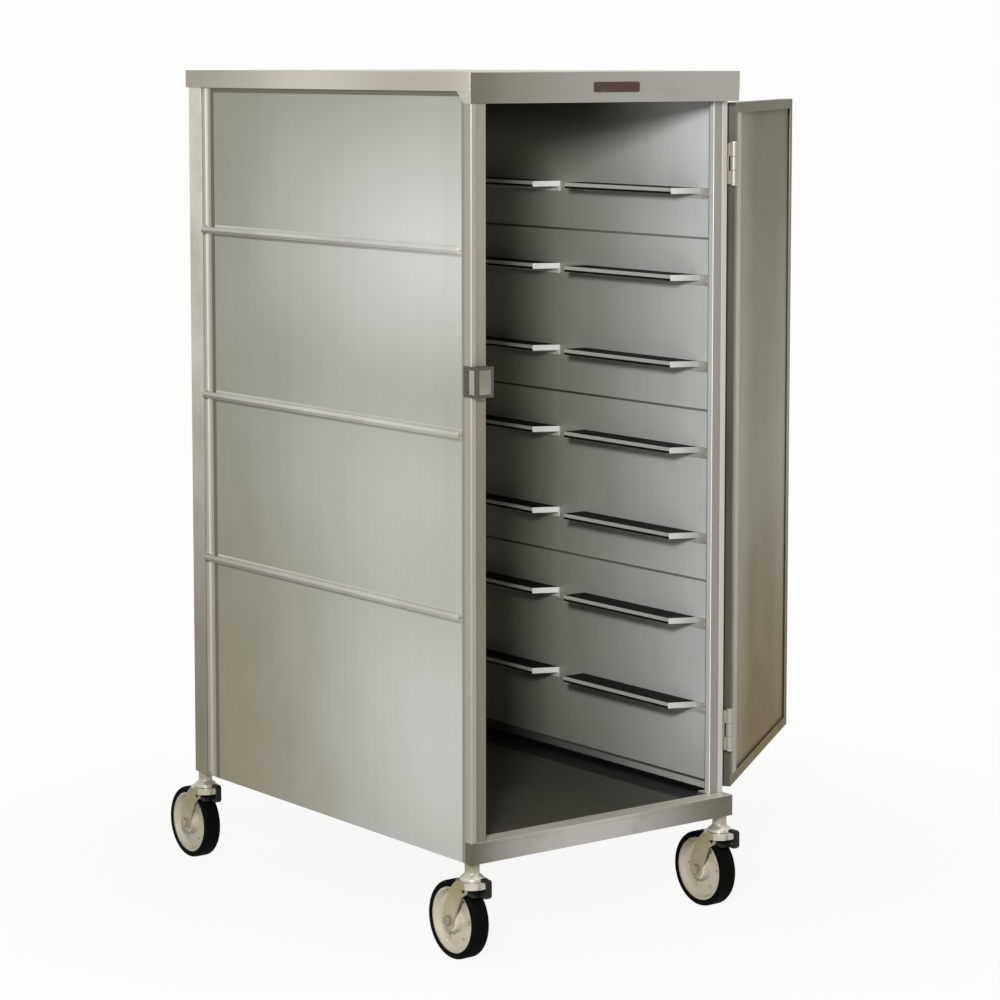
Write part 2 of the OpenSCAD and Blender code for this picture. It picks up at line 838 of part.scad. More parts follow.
module fork() {
    skirt = 7;
    difference() {
        union() {
            translate([0, 0, crown_z]) cylinder(r = crown_r, h = crown_top - crown_z);
            // the crown's rim turns down round its front
            difference() {
                translate([0, 0, crown_z - skirt]) cylinder(r = crown_r, h = skirt + 1);
                translate([0, 0, crown_z - skirt - 1]) cylinder(r = crown_r - fork_t, h = skirt + 1);
                block([-crown_r - 1, 2, crown_z - skirt - 1], [crown_r + 1, crown_r + 1, crown_z]);
            }
        }
        translate([0, 0, crown_z - 1]) cylinder(r = kingpin_r + pin_clear, h = fork_t + 4);
    }
    side_plate(fork_gap / 2, fork_t) fork_leg_outline();
    side_plate(-fork_gap / 2 - fork_t, fork_t) fork_leg_outline();
}

module axle() {
    translate([0, trail, wheel_r]) rotate([0, 90, 0]) {
        translate([0, 0, -axle_end]) cylinder(r = axle_r, h = 2 * axle_end);
        translate([0, 0, axle_end]) cylinder(r = axle_r + 4, h = nut_h, $fn = 6);
        translate([0, 0, -axle_end - nut_h]) cylinder(r = axle_r + 4, h = nut_h, $fn = 6);
    }
}

// The wheel's centre, turned about its axle: hub, dished web and rim
module wheel_centre() {
    rim_r = wheel_r - tyre_t;
    rim_w = tyre_w - 4;
    web_w = 8;
    holes = 6;
    translate([0, trail, wheel_r]) rotate([0, 90, 0]) difference() {
        rotate_extrude() polygon([
            [axle_r + pin_clear, -hub_w / 2], [hub_r - 2, -hub_w / 2], [hub_r, -hub_w / 2 + 2],
            [hub_r + 3, -web_w / 2 - 1], [hub_r + 8, -web_w / 2], [rim_r - 8, -web_w / 2],
            [rim_r - 4, -rim_w / 2], [rim_r, -rim_w / 2],
            [rim_r, rim_w / 2], [rim_r - 4, rim_w / 2],
            [rim_r - 8, web_w / 2], [hub_r + 8, web_w / 2], [hub_r + 3, web_w / 2 + 1],
            [hub_r, hub_w / 2 - 2], [hub_r - 2, hub_w / 2], [axle_r + pin_clear, hub_w / 2],
        ]);
        for (i = [0:holes - 1]) rotate([0, 0, i * 360 / holes])
            translate([(hub_r + rim_r) / 2, 0, -web_w]) cylinder(r = 4, h = 2 * web_w);
    }
}

module tyre() {
    shoulder = 5;
    inner_r = wheel_r - tyre_t;
    translate([0, trail, wheel_r]) rotate([0, 90, 0]) rotate_extrude($fn = 96) {
        translate([inner_r, -tyre_w / 2]) square([tyre_t - shoulder, tyre_w]);
        translate([inner_r, -tyre_w / 2 + shoulder]) square([tyre_t, tyre_w - 2 * shoulder]);
        for (side = [-1, 1])
            translate([wheel_r - shoulder, side * (tyre_w / 2 - shoulder)]) circle(shoulder);
    }
}

// The foot brake: a C-shaped toe piece round the crown's front, on a pin between the legs
module brake_pedal() {
    inner_w = fork_gap - 1.6;
    front = -pedal_reach;
    top = crown_top + 8;
    low = pedal_z - 8;
    back = -crown_r - 2;
    side_plate(-toe_w / 2, toe_w) polygon([
        [back + 4, low], [front + 4, low], [front, low + 4], [front, top - 3],
        [front + 3, top], [back, top], [back, top - 4], [front + 5, top - 5],
        [front + 5, low + 6], [back + 4, low + 6],
    ]);
    side_plate(-inner_w / 2, inner_w) polygon([
        [back + 3, low], [pedal_y - 6, low + 1], [pedal_y + 2, pedal_z - 3.5],
        [pedal_y + 5, pedal_z], [pedal_y + 4, pedal_z + 3], [pedal_y, pedal_z + 5],
        [pedal_y - 4, pedal_z + 2], [back + 3, low + 6],
    ]);
    side_plate(-axle_end, 2 * axle_end) translate([pedal_y, pedal_z]) circle(pedal_pin_r);
}

module fork_at(i) { color(zinc) at_caster(i) fork(); }
module axle_at(i) { color(zinc) at_caster(i) axle(); }
module wheel_at(i) { color(cream) at_caster(i) wheel_centre(); }
module tyre_at(i) { color(black) at_caster(i) tyre(); }
module brake_at(i) { color(black) at_caster(i) brake_pedal(); }

base_front_sill();
base_rear_rail();
base_side_rails();
deck_pan();
front_left_post();
front_right_post();
rear_posts();
front_header();
roof_pan();
left_side_sheets();
right_side_sheets();
rear_sheets();
left_side_ribs();
right_side_ribs();
rear_ribs();
tray_ledges(0);  // tray_ledges_1
tray_ledges(1);  // tray_ledges_2
tray_ledges(2);  // tray_ledges_3
tray_ledges(3);  // tray_ledges_4
tray_ledges(4);  // tray_ledges_5
tray_ledges(5);  // tray_ledges_6
tray_ledges(6);  // tray_ledges_7
ledge_rivets();
door_outer_pan();
door_inner_sheet();
door_hinge_stile();
hinge_post_leaves();
hinge_door_leaves();
hinge_pins();
hinge_post_screws();
hinge_door_screws();
latch_keeper();
keeper_screws();
latch_plate_base();
latch_screws();
latch_pivot_bolt();
latch_lever();
caster_stems();
fork_at(0);  // fork_front_left
fork_at(1);  // fork_front_right
fork_at(2);  // fork_rear_left
fork_at(3);  // fork_rear_right
axle_at(0);  // axle_front_left
axle_at(1);  // axle_front_right
axle_at(2);  // axle_rear_left
axle_at(3);  // axle_rear_right
wheel_at(0);  // wheel_front_left
wheel_at(1);  // wheel_front_right
wheel_at(2);  // wheel_rear_left
wheel_at(3);  // wheel_rear_right
tyre_at(0);  // tyre_front_left
tyre_at(1);  // tyre_front_right
tyre_at(2);  // tyre_rear_left
tyre_at(3);  // tyre_rear_right
brake_at(0);  // brake_front_left
brake_at(1);  // brake_front_right
brake_at(2);  // brake_rear_left
brake_at(3);  // brake_rear_right
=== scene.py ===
# %% [markdown]
# # Dressing an enclosed meal tray cart
# A meal tray cart is a steel cabinet on four casters. The measured model comes in first,
# as a fixed frame that is never moved. This lesson then lights it, gives every sheet its
# brushed finish, softens the folded edges, and models the small pieces in more detail.

# %% The measured model
import bmesh
import bpy
import json
from math import cos, pi, radians, sin
from mathutils import Matrix, Vector


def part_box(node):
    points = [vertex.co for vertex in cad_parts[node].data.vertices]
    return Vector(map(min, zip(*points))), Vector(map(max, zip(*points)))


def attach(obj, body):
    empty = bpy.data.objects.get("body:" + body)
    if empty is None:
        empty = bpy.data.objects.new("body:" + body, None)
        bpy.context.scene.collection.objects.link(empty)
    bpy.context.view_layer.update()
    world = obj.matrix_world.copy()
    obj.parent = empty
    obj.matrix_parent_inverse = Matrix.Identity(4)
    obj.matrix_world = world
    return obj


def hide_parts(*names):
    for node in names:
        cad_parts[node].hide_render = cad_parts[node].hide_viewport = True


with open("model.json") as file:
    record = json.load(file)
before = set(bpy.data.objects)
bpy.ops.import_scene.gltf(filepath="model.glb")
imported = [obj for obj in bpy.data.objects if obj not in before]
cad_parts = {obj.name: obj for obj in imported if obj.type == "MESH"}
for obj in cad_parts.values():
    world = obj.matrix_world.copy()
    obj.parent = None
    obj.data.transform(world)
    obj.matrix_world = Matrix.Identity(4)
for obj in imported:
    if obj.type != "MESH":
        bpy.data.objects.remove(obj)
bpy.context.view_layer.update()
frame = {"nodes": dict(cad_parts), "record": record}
nodes = frame["nodes"]

# %% [markdown]
# The cart was drawn in millimetres from the cabinet's front left corner at the floor. The
# same numbers are handy here, so one helper turns them into metres in the model's frame.
# The corner is read from the left front post, so nothing has to be fitted by eye.

# %% Cabinet millimetres
X, Y, Z = range(3)
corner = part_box("front_left_post")[0]
corner = Vector((corner.x, corner.y, 0))
body_w, body_d = 546, 826
base_z, sill_z, roof_z = 162, 197, 1405
rib_levels = (553, 841, 1129)


def at(x, y, z):
    """A point in cabinet millimetres, as metres in the model's frame."""
    return corner + Vector((x, y, z)) / 1000


def span(axis, first, last):
    """Two places along one axis in cabinet millimetres, as metres in the model's frame."""
    return corner[axis] + first / 1000, corner[axis] + last / 1000


def middle_of(name):
    """The middle of a frame piece's box."""
    low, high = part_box(name)
    return (low + high) / 2


print("the cabinet's front left corner stands at", [round(v, 4) for v in corner])

# %% [markdown]
# ## The camera
# The photograph was taken from the left front, a little above the roof, with a long lens.
# The lens and place were worked out from the cabinet's corners. The camera looks slightly
# down, and a small vertical shift frames the cart as the photograph does.

# %% Camera
eye = at(-2835, -3812, 1425)
lens_mm, pitch_deg, yaw_deg, shift = 111.17, 5.97, 37.18, -0.1185
camera = bpy.data.objects.new("camera", bpy.data.cameras.new("camera"))
camera.data.lens, camera.data.sensor_width = lens_mm, 36
camera.data.shift_y = shift
camera.data.clip_end = 100
camera.location = eye
camera.rotation_euler = (radians(90 - pitch_deg), 0, radians(-yaw_deg))
bpy.context.scene.collection.objects.link(camera)
bpy.context.scene.camera = camera
bpy.context.scene.view_settings.view_transform = "Standard"
to_cart = at(body_w / 2, body_d / 2, roof_z / 2) - eye
print("the camera stands", round(to_cart.length, 2), "m from the cart")

# %% [markdown]
# ## Node helpers
# A finish is a small graph of nodes. Wiring it by hand in code is long, so one helper adds
# a node, sets its values and links whatever is a socket. A second one turns the colour
# numbers that a paint program shows into the linear ones that the shader works with.


# %% Node helpers
def node(tree, kind, values=None, **settings):
    """Adds a node; a value that is a socket is linked, and any other is set."""
    made = tree.nodes.new(kind)
    for name, value in settings.items():
        setattr(made, name, value)
    for name, value in (values or {}).items():
        if isinstance(value, bpy.types.NodeSocket):
            tree.links.new(value, made.inputs[name])
        else:
            made.inputs[name].default_value = value
    return made


def seen(red, green, blue):
    """A colour from 0 to 255, as seen on a screen, made linear."""
    def one(v):
        v = v / 255
        return v / 12.92 if v <= 0.04045 else ((v + 0.055) / 1.055) ** 2.4
    return (one(red), one(green), one(blue), 1)


def empty_material(name):
    """A new material and its node tree, with nothing in it."""
    made = bpy.data.materials.new(name)
    made.use_nodes = True
    made.node_tree.nodes.clear()
    return made, made.node_tree


print("white is", seen(255, 255, 255))

# %% [markdown]
# The same few steps come back in every finish: arithmetic, a mix of two colours, a value
# stretched to a new range, and a noise. Each gets a helper that returns a socket, so that a
# finish reads as one sum after another.


# %% Steps of a finish
def sums(tree, how, a, b):
    """One step of arithmetic between sockets or numbers."""
    return node(tree, "ShaderNodeMath", {0: a, 1: b}, operation=how).outputs[0]


def mix(tree, how_much, a, b, blend="MIX"):
    """Mixes two colours. The node's sockets for colours are numbers 6, 7 and 2."""
    return node(tree, "ShaderNodeMix", {0: how_much, 6: a, 7: b},
                data_type="RGBA", blend_type=blend).outputs[2]


def spread(tree, value, low, high, to_low=0.0, to_high=1.0):
    """Stretches a value from one range to another, smoothly and clamped."""
    return node(tree, "ShaderNodeMapRange", {
        "Value": value, "From Min": low, "From Max": high,
        "To Min": to_low, "To Max": to_high}, interpolation_type="SMOOTHSTEP").outputs[0]


def noise(tree, place, scale, detail, roughness):
    """A soft noise about 0.5, with finer noise laid over it."""
    return node(tree, "ShaderNodeTexNoise", {
        "Vector": place, "Scale": scale, "Detail": detail,
        "Roughness": roughness}).outputs["Fac"]


usual = (0.3, 0.7)  # nearly all of a noise lies between these
print("a noise runs about from", usual[0], "to", usual[1])

# %% [markdown]
# A large sheet of steel mirrors the room softly, so its tone rises and falls along it. The
# profiles paint that reflection, and the shade on the sheet, into its colour. It could be
# painted on a picture, but a profile keeps it sharp and easy to change: a few stops along
# one axis of the cabinet, each with a value.


# %% Tone profiles
def profile(tree, place, axis, stops):
    """A value along an axis, from stops of (cabinet millimetres, value)."""
    first, last = stops[0][0], stops[-1][0]
    start, end = span(axis, first, last)
    apart = node(tree, "ShaderNodeSeparateXYZ", {0: place}).outputs[axis]
    along = node(tree, "ShaderNodeMapRange", {
        "Value": apart, "From Min": start, "From Max": end}).outputs[0]
    ramp = node(tree, "ShaderNodeValToRGB", {0: along})
    ramp.color_ramp.interpolation = "B_SPLINE"
    points = ramp.color_ramp.elements
    while len(points) < len(stops):
        points.new(0.5)
    for point, (where, value) in zip(points, stops):
        point.position = (where - first) / (last - first)
    for point, (where, value) in zip(points, stops):
        point.color = (value, value, value, 1)
    return ramp.outputs[0]


def product(tree, place, profiles):
    """Several profiles multiplied; profiles is a list of (axis, stops)."""
    value = None
    for axis, stops in profiles:
        part = profile(tree, place, axis, stops)
        value = part if value is None else sums(tree, "MULTIPLY", value, part)
    return value


print("profiles ready")

# %% [markdown]
# ## The studio
# The cart stands on a plain pale floor that fades into the background, so that no horizon
# shows. Far from the cart the floor only shows the background's colour. Near the cart part
# of what it shows is real shading, which keeps the soft shadow under the base.


# %% Floor
def seen_by(tree, *rays):
    """1 for a ray of one of these kinds, and 0 for any other."""
    path = node(tree, "ShaderNodeLightPath")
    shown = path.outputs[rays[0]]
    for ray in rays[1:]:
        shown = sums(tree, "MAXIMUM", shown, path.outputs[ray])
    return shown


paper = seen(253, 253, 252)
near_m, far_m, glow_near, glow_far = 0.5, 1.4, 0.93, 1.0
paper_floor, tree = empty_material("floor_paper")
place = node(tree, "ShaderNodeTexCoord").outputs["Object"]
away = node(tree, "ShaderNodeVectorMath", {0: place}, operation="LENGTH").outputs["Value"]
shading = node(tree, "ShaderNodeBsdfDiffuse", {"Color": (0.8, 0.8, 0.8, 1)}).outputs[0]
glow = node(tree, "ShaderNodeEmission", {"Color": paper, "Strength": 1}).outputs[0]
part_glow = node(tree, "ShaderNodeMixShader", {
    0: spread(tree, away, near_m, far_m, glow_near, glow_far), 1: shading, 2: glow})
surface = node(tree, "ShaderNodeMixShader", {
    0: seen_by(tree, "Is Camera Ray", "Is Glossy Ray"), 1: shading,
    2: part_glow.outputs[0]})
node(tree, "ShaderNodeOutputMaterial", {0: surface.outputs[0]})
bpy.ops.mesh.primitive_plane_add(size=60, location=(0, 0, 0))
floor = bpy.context.object
floor.name = "floor"
floor.data.materials.append(paper_floor)
print("floor laid")

# %% [markdown]
# A steel cart shows what stands round it. The world is white paper wherever the camera sees
# it, straight on or in the gloss, but it lights the cart with less than half of that, so
# that the pale steel keeps its own tone.

# %% World
world_light = 0.42
world = bpy.data.worlds.new("studio")
bpy.context.scene.world = world
world.use_nodes = True
tree = world.node_tree
tree.nodes.clear()
soft = node(tree, "ShaderNodeBackground", {"Color": (1, 1, 1, 1), "Strength": world_light})
behind = node(tree, "ShaderNodeBackground", {"Color": paper, "Strength": 1})
both = node(tree, "ShaderNodeMixShader", {
    0: seen_by(tree, "Is Camera Ray", "Is Glossy Ray", "Is Transmission Ray"),
    1: soft.outputs[0], 2: behind.outputs[0]})
node(tree, "ShaderNodeOutputWorld", {0: both.outputs[0]})
print("world set to", world_light)

# %% [markdown]
# The photograph's light comes from the left, a little above the roof, with a weak one
# overhead. Two square lamps give that. A single lamp would leave the roof too dark.


# %% Lamps
def softbox(name, place, look_at, size, watts):
    """A square lamp that faces a point."""
    lamp = bpy.data.objects.new(name, bpy.data.lights.new(name, "AREA"))
    lamp.data.size, lamp.data.energy = size, watts
    lamp.location = place
    lamp.rotation_euler = (Vector(look_at) - Vector(place)).to_track_quat("-Z", "Y").to_euler()
    bpy.context.scene.collection.objects.link(lamp)


softbox("lamp_left", (-2.5, -2.6, 1.85), (0, 0, 0.7), size=0.4, watts=118)
softbox("lamp_top", (0.6, -0.4, 3.4), (0, 0, 0.9), size=2.0, watts=18)

# %% [markdown]
# ## Brushed steel
# Nearly everything here is stainless sheet. A belt has scratched it in one direction, so its
# gloss is smeared along the grain, and its tone drifts slowly over a large sheet. Four
# noises make that: hair-fine lines, wider streaks, one slow drift, and smudges that change
# the gloss. The lines also give a very slight bump. On a sheet the drift also follows
# profiles, which paint the room's reflection and the shade on it into the colour, and thin
# bands paint the shade and the highlights beside the folds.


# %% Brushed steel
finishes = {}


def brushed_steel(name, pale, deep, grain="z", rough=0.4, warm=None, metal=0.5, hair=0.05,
                  drift=1.7, wander=0.3, tone=(), warmth=(), tints=(), bands=(), shine=0.5):
    """Files a belt-polished sheet in finishes. Colours are as seen on a screen. tone and
    warmth are profiles that lead from deep to pale and to the warm colour; tints are more
    (colour, profiles), and bands are (axis, first, last, colour) strips in cabinet
    millimetres, with a profile that fades them if one is given. On this cart they mostly
    paint light, shade and reflections into the colour."""
    made, tree = empty_material(name)
    place = node(tree, "ShaderNodeTexCoord").outputs["Object"]
    across, along, cloudy, streak_width = 1300, 5, 40, 16
    scale = {"x": (along, across, across), "y": (across, along, across),
             "z": (across, across, along), "none": (cloudy, cloudy, cloudy)}[grain]
    fine = node(tree, "ShaderNodeMapping", {"Vector": place, "Scale": scale}).outputs[0]
    wide = node(tree, "ShaderNodeMapping", {
        "Vector": place, "Scale": tuple(v / streak_width for v in scale)}).outputs[0]
    lines, streaks = noise(tree, fine, 1, 5, 0.65), noise(tree, wide, 1, 3, 0.5)
    slow, smudge = noise(tree, place, drift, 2, 0.45), noise(tree, place, 9, 4, 0.6)

    level = sums(tree, "ADD", product(tree, place, tone) if tone else 0.5,
                 spread(tree, slow, *usual, -wander, wander))
    colour = mix(tree, level, seen(*deep), seen(*pale))
    if warm and warmth:
        amount = sums(tree, "MULTIPLY", product(tree, place, warmth),
                      spread(tree, smudge, *usual, 0.84, 1.0))
        colour = mix(tree, amount, colour, seen(*warm))
    elif warm:
        colour = mix(tree, spread(tree, smudge, 0.45, 0.75, 0, 0.35), colour, seen(*warm))
    for tint, where in tints:
        colour = mix(tree, product(tree, place, where), colour, seen(*tint))
    for axis, first, last, band, *fade in bands:
        apart = node(tree, "ShaderNodeSeparateXYZ", {0: place}).outputs[axis]
        low, high = span(axis, first, last)
        inside = sums(tree, "MULTIPLY", sums(tree, "GREATER_THAN", apart, low),
                      sums(tree, "LESS_THAN", apart, high))
        if fade:
            inside = sums(tree, "MULTIPLY", inside, product(tree, place, fade))
        colour = mix(tree, inside, colour, seen(*band))

    grains = sums(tree, "ADD", sums(tree, "MULTIPLY", lines, 0.75),
                  sums(tree, "MULTIPLY", streaks, 0.25))
    line_tone = spread(tree, grains, *usual, 1 - hair, 1 + hair)
    colour = mix(tree, 1.0, colour, node(tree, "ShaderNodeCombineColor", {
        0: line_tone, 1: line_tone, 2: line_tone}).outputs[0], "MULTIPLY")
    gloss = sums(tree, "ADD", spread(tree, lines, *usual, rough - 0.04, rough + 0.06),
                 spread(tree, smudge, 0.4, 0.7, -0.03, 0.05))
    bump = node(tree, "ShaderNodeBump", {"Height": lines, "Strength": 0.15,
                                         "Distance": 0.0001}).outputs[0]
    steel = node(tree, "ShaderNodeBsdfPrincipled", {
        "Base Color": colour, "Metallic": metal, "Roughness": gloss, "Normal": bump,
        "Specular IOR Level": shine})
    node(tree, "ShaderNodeOutputMaterial", {0: steel.outputs[0]})
    finishes[name] = made


print("brushed steel ready")

# %% [markdown]
# The left wall shows the painted reflection best. Its colour is painted palest towards the
# front, darker under the roof and by the second rib from the top, with a warm brown
# reflection of the floor painted low at the back. Each rib has a painted shadow under it
# and a painted pale highlight over it, stronger to the back.

# %% Left wall
fading = (Y, [(0, 0.3), (190, 0.5), (420, 0.6), (660, 0.9), (body_d, 1.0)])
upwards = (Z, [(base_z, 0.3), (700, 0.7), (roof_z, 1.0)])
# painted shadow under each rib and a painted highlight over it
painted_light_bands = [(Z, rib - 10, rib - 5, (112, 110, 97), fading) for rib in rib_levels]
painted_light_bands += [(Z, rib + 5, rib + 10, (196, 195, 186), fading) for rib in rib_levels]
# painted shadow under the roof's rim and behind the front post, and a painted highlight on the
# bead before the rear post, with painted shade in front of it
painted_light_bands += [(Z, 1367, 1376, (104, 97, 82)),           # under the roof's rim
            (Y, 16, 26, (132, 130, 117)),             # behind the front post
            (Y, 771, 777, (164, 159, 149), upwards),  # the bead before the rear post,
            (Y, 764, 771, (212, 207, 196), upwards),  # brightest in its middle,
            (Y, 756, 764, (162, 157, 146), upwards),
            (Y, 745, 756, (100, 94, 82))]             # and the shade in front of it
# the tone paints the reflection and the shade on the wall; the warmth paints the floor's brown
# reflection low at the back
brushed_steel(
    "left_wall", (194, 196, 191), (144, 145, 132), "z", 0.5, (134, 122, 92), wander=0.1,
    tone=[(Y, [(0, 0.85), (90, 0.92), (170, 1.0), (300, 0.85), (420, 0.6), (600, 0.25),
               (730, 0.05), (body_d, 0.0)]),
          (Z, [(base_z, 0.72), (260, 0.9), (390, 0.9), (470, 0.75), (560, 0.5), (700, 0.6),
               (800, 0.5), (880, 0.3), (940, 0.4), (1030, 0.8), (1130, 1.0), (1200, 0.85),
               (1300, 0.5), (roof_z, 0.1)])],
    warmth=[(Y, [(0, 0.0), (300, 0.1), (600, 0.7), (body_d, 1.0)]),
            (Z, [(base_z, 1.0), (420, 0.75), (640, 0.2), (800, 0.0)])], bands=painted_light_bands)
print("creases on the left wall:", len(painted_light_bands))

# %% [markdown]
# The right wall is seen from inside. Its colour paints the light of the doorway: almost
# white by the doorway and fading to brown towards the back, and the header's shadow as a
# dark wedge on its top. The two tints paint that extra light and that shadow over the plain
# profile. The rear wall is dim and even.

# %% Right and rear wall
# the tone paints the doorway's light; the first tint paints more light by the doorway, and the
# second the header's shadow
brushed_steel(
    "right_wall", (226, 231, 226), (132, 127, 106), "z", 0.5, (92, 84, 66), wander=0.05,
    tone=[(Y, [(20, 1.0), (120, 0.95), (260, 0.72), (420, 0.3), (560, 0.2), (700, 0.14),
               (body_d, 0.02)])],
    warmth=[(Z, [(base_z, 0.35), (300, 0.1), (500, 0.0)])],
    tints=[((250, 253, 251), [
        (Y, [(20, 1.0), (110, 0.9), (200, 0.3), (300, 0.0)]),
        (Z, [(1050, 0.0), (1200, 0.5), (1300, 1.0), (roof_z, 1.0)])]),
           ((26, 26, 20), [
               (Y, [(90, 0.0), (200, 0.1), (300, 0.5), (400, 1.0), (body_d, 1.0)]),
               (Z, [(1240, 0.0), (1285, 0.1), (1330, 0.9), (roof_z, 1.0)])])])
brushed_steel("wall_steel", (196, 198, 193), (148, 149, 138), "z", 0.45, wander=0.12,
              tone=[(Z, [(base_z, 0.4), (700, 0.7), (roof_z, 0.4)])])
print("wall finishes:", sorted(finishes))

# %% [markdown]
# The frame around the walls is heavier sheet, polished along each member's length. Its
# finish runs up the posts, across the header and sill, and from front to back along the
# roof's rim and the ribs, so each direction gets a finish of its own.

# %% Posts
# the tone is painted darker towards the floor
brushed_steel("left_post", (144, 140, 126), (98, 94, 80), "z", 0.42, wander=0.15,
              tone=[(Z, [(sill_z, 0.2), (420, 0.3), (900, 0.45), (1200, 0.9),
                         (roof_z, 0.8)])],
              bands=[(X, -1, 9.5, (152, 145, 133))])
# the band from 515 to 517.5 mm is a painted highlight on the post's inner edge
brushed_steel("right_post", (152, 149, 141), (130, 126, 116), "z", 0.42, wander=0.15,
              tone=[(Z, [(sill_z, 0.2), (900, 0.5), (roof_z, 0.8)])],
              bands=[(X, 534, body_w + 1, (188, 181, 173)),
                     (X, 515, 517.5, (226, 226, 219))])
# the tone paints shade low down, and the band is part of the bead's painted highlight
brushed_steel("rear_post_steel", (214, 208, 196), (106, 99, 77), "z", 0.34, (128, 118, 94),
              wander=0.12,
              tone=[(Z, [(base_z, 0.0), (420, 0.25), (700, 0.6), (roof_z, 1.0)])],
              bands=[(Y, 768, 772, (164, 159, 149), upwards)])
print("finishes:", len(finishes))

# %% Roof, ribs and base
# the tone profiles paint the reflection along each member, and the ribs' bands paint shade on
# their lower half
brushed_steel("header_steel", (160, 158, 150), (96, 93, 77), "x", 0.42, (136, 130, 112),
              wander=0.1,
              tone=[(X, [(-5, 0.0), (60, 0.12), (240, 0.78), (420, 0.95),
                         (body_w + 5, 1.0)])])
brushed_steel("roof_steel", (202, 196, 186), (158, 153, 139), "y", 0.4, (176, 168, 150),
              tone=[(Y, [(-3, 0.5), (70, 0.1), (200, 0.2), (420, 0.95), (620, 0.6),
                         (760, 0.1), (body_d + 3, -0.2)])])
brushed_steel("rib_steel", (208, 208, 202), (150, 148, 134), "y", 0.34, (160, 150, 128),
              tone=[(Y, [(0, 0.45), (170, 0.48), (420, 0.45), (660, 0.5), (body_d, 0.3)])],
              bands=[(Z, rib - 6, rib - 0.5, (118, 116, 103), fading) for rib in rib_levels])
brushed_steel("sill_steel", (178, 173, 168), (84, 79, 58), "x", 0.4, (100, 92, 70),
              wander=0.1,
              tone=[(X, [(0, 0.0), (40, 0.25), (120, 0.75), (260, 1.0), (380, 0.75),
                         (470, 0.2), (body_w, 0.0)])])
# the sill's top: a painted highlight
brushed_steel("sill_top_highlight", (224, 222, 208), (190, 186, 168), "x", 0.4)
brushed_steel("rail_steel", (170, 167, 156), (132, 128, 112), "y", 0.4, (140, 130, 108))
print("finishes:", len(finishes))

# %% [markdown]
# The door's inner sheet hangs in the cart's own shadow and mirrors the floor, and both are
# painted into its colour: olive above and brown below, with a paler painted strip of light
# along each side. It is almost dull: a true metal would mirror the white room here. Its lips
# and skin get the same painted tones, darker low down.

# %% Door steel
painted_floor_reflection = [(Z, [(190, 1.0), (330, 0.95), (480, 0.7), (640, 0.25), (760, 0.0),
                   (roof_z, 0.0)])]
dull = {"metal": 0.1, "wander": 0.08, "shine": 0.15, "warmth": painted_floor_reflection}
# tone and tints paint the shade and the light along the sides; the warmth paints the floor's
# reflection
brushed_steel("door_steel", (151, 149, 131), (106, 101, 82), "z", 0.6, (120, 100, 50), **dull,
              tone=[(Z, [(sill_z, 0.3), (500, 0.6), (660, 1.0), (800, 0.95), (1000, 0.6),
                         (1180, 0.35), (1300, 0.1), (roof_z, 0.05)])],
              tints=[((190, 184, 164), [
                  (X, [(820, 0.0), (900, 0.25), (990, 1.0)]),
                  (Z, [(200, 0.1), (400, 0.45), (600, 0.9), (850, 1.0), (1100, 0.4),
                       (1300, 0.0)])]),
                     ((196, 190, 176), [
                         (X, [(550, 1.0), (630, 0.7), (720, 0.0)]),
                         (Z, [(200, 0.3), (500, 0.8), (roof_z, 0.8)])])])
brushed_steel("door_lip", (164, 160, 143), (114, 109, 90), "z", 0.6, (124, 104, 60), **dull,
              tone=[(Z, [(sill_z, 0.3), (500, 0.6), (700, 1.0), (860, 0.9), (1180, 0.4),
                         (roof_z, 0.1)])])
brushed_steel("door_skin", (150, 146, 135), (122, 117, 104), "z", 0.42, (138, 128, 104),
              wander=0.15, shine=0.3, warmth=painted_floor_reflection)
# painted shade of the gap beside the post, paler at the top
brushed_steel("door_edge", (70, 68, 59), (40, 39, 33), "z", 0.6, metal=0.1,
              tone=[(Z, [(sill_z, 0.6), (700, 0.3), (1180, 0.4), (1260, 1.0),
                         (roof_z, 1.0)])])
brushed_steel("door_stile", (180, 176, 164), (150, 145, 131), "z", 0.5, wander=0.15,
              shine=0.3,
              tone=[(Z, [(sill_z, 0.0), (500, 0.6), (900, 1.0), (roof_z, 0.9)])])
brushed_steel("stile_steel", (162, 157, 148), (138, 134, 124), "z", 0.42, wander=0.25)
print("finishes:", len(finishes))

# %% [markdown]
# The tray ledges are painted bright where the light of the doorway reaches them, and nearly
# black on top, a painted reflection of the dark inside. The deck is painted dark for the
# shade inside the cart, and black by its folds as painted shade. Its turned-up edge and the
# inner seams of the ribs are painted like the wall, pale by the doorway and dark towards
# the back, with thin dark lines.

# %% Ledge and deck steel
# painted shade along the deck's folds
painted_fold_shade = (8, 8, 5)
edge_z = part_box("deck_pan")[1].z * 1000
# the tone paints the doorway's light along the ledges; ledge_top paints the dark reflection on
# their tops
brushed_steel("ledge_steel", (228, 229, 222), (92, 91, 80), "y", 0.34, metal=0.35,
              wander=0.1,
              tone=[(Y, [(50, 0.35), (88, 0.55), (130, 0.75), (260, 0.75), (396, 0.75),
                         (455, 0.85), (530, 0.9), (570, 0.5), (790, 0.3)])])
brushed_steel("ledge_top", (26, 26, 21), (12, 12, 8), "y", 0.7, metal=0.1, shine=0.1,
              tone=[(Y, [(50, 1.0), (200, 0.6), (790, 0.0)])])
# the deck's dark colour is painted shade, and its bands are painted shade by the folds
brushed_steel("deck_steel", (80, 78, 68), (48, 47, 38), "y", 0.5, (74, 68, 56), metal=0.4,
              bands=[(X, body_w - 62, body_w, painted_fold_shade), (X, 0, 62, painted_fold_shade)])
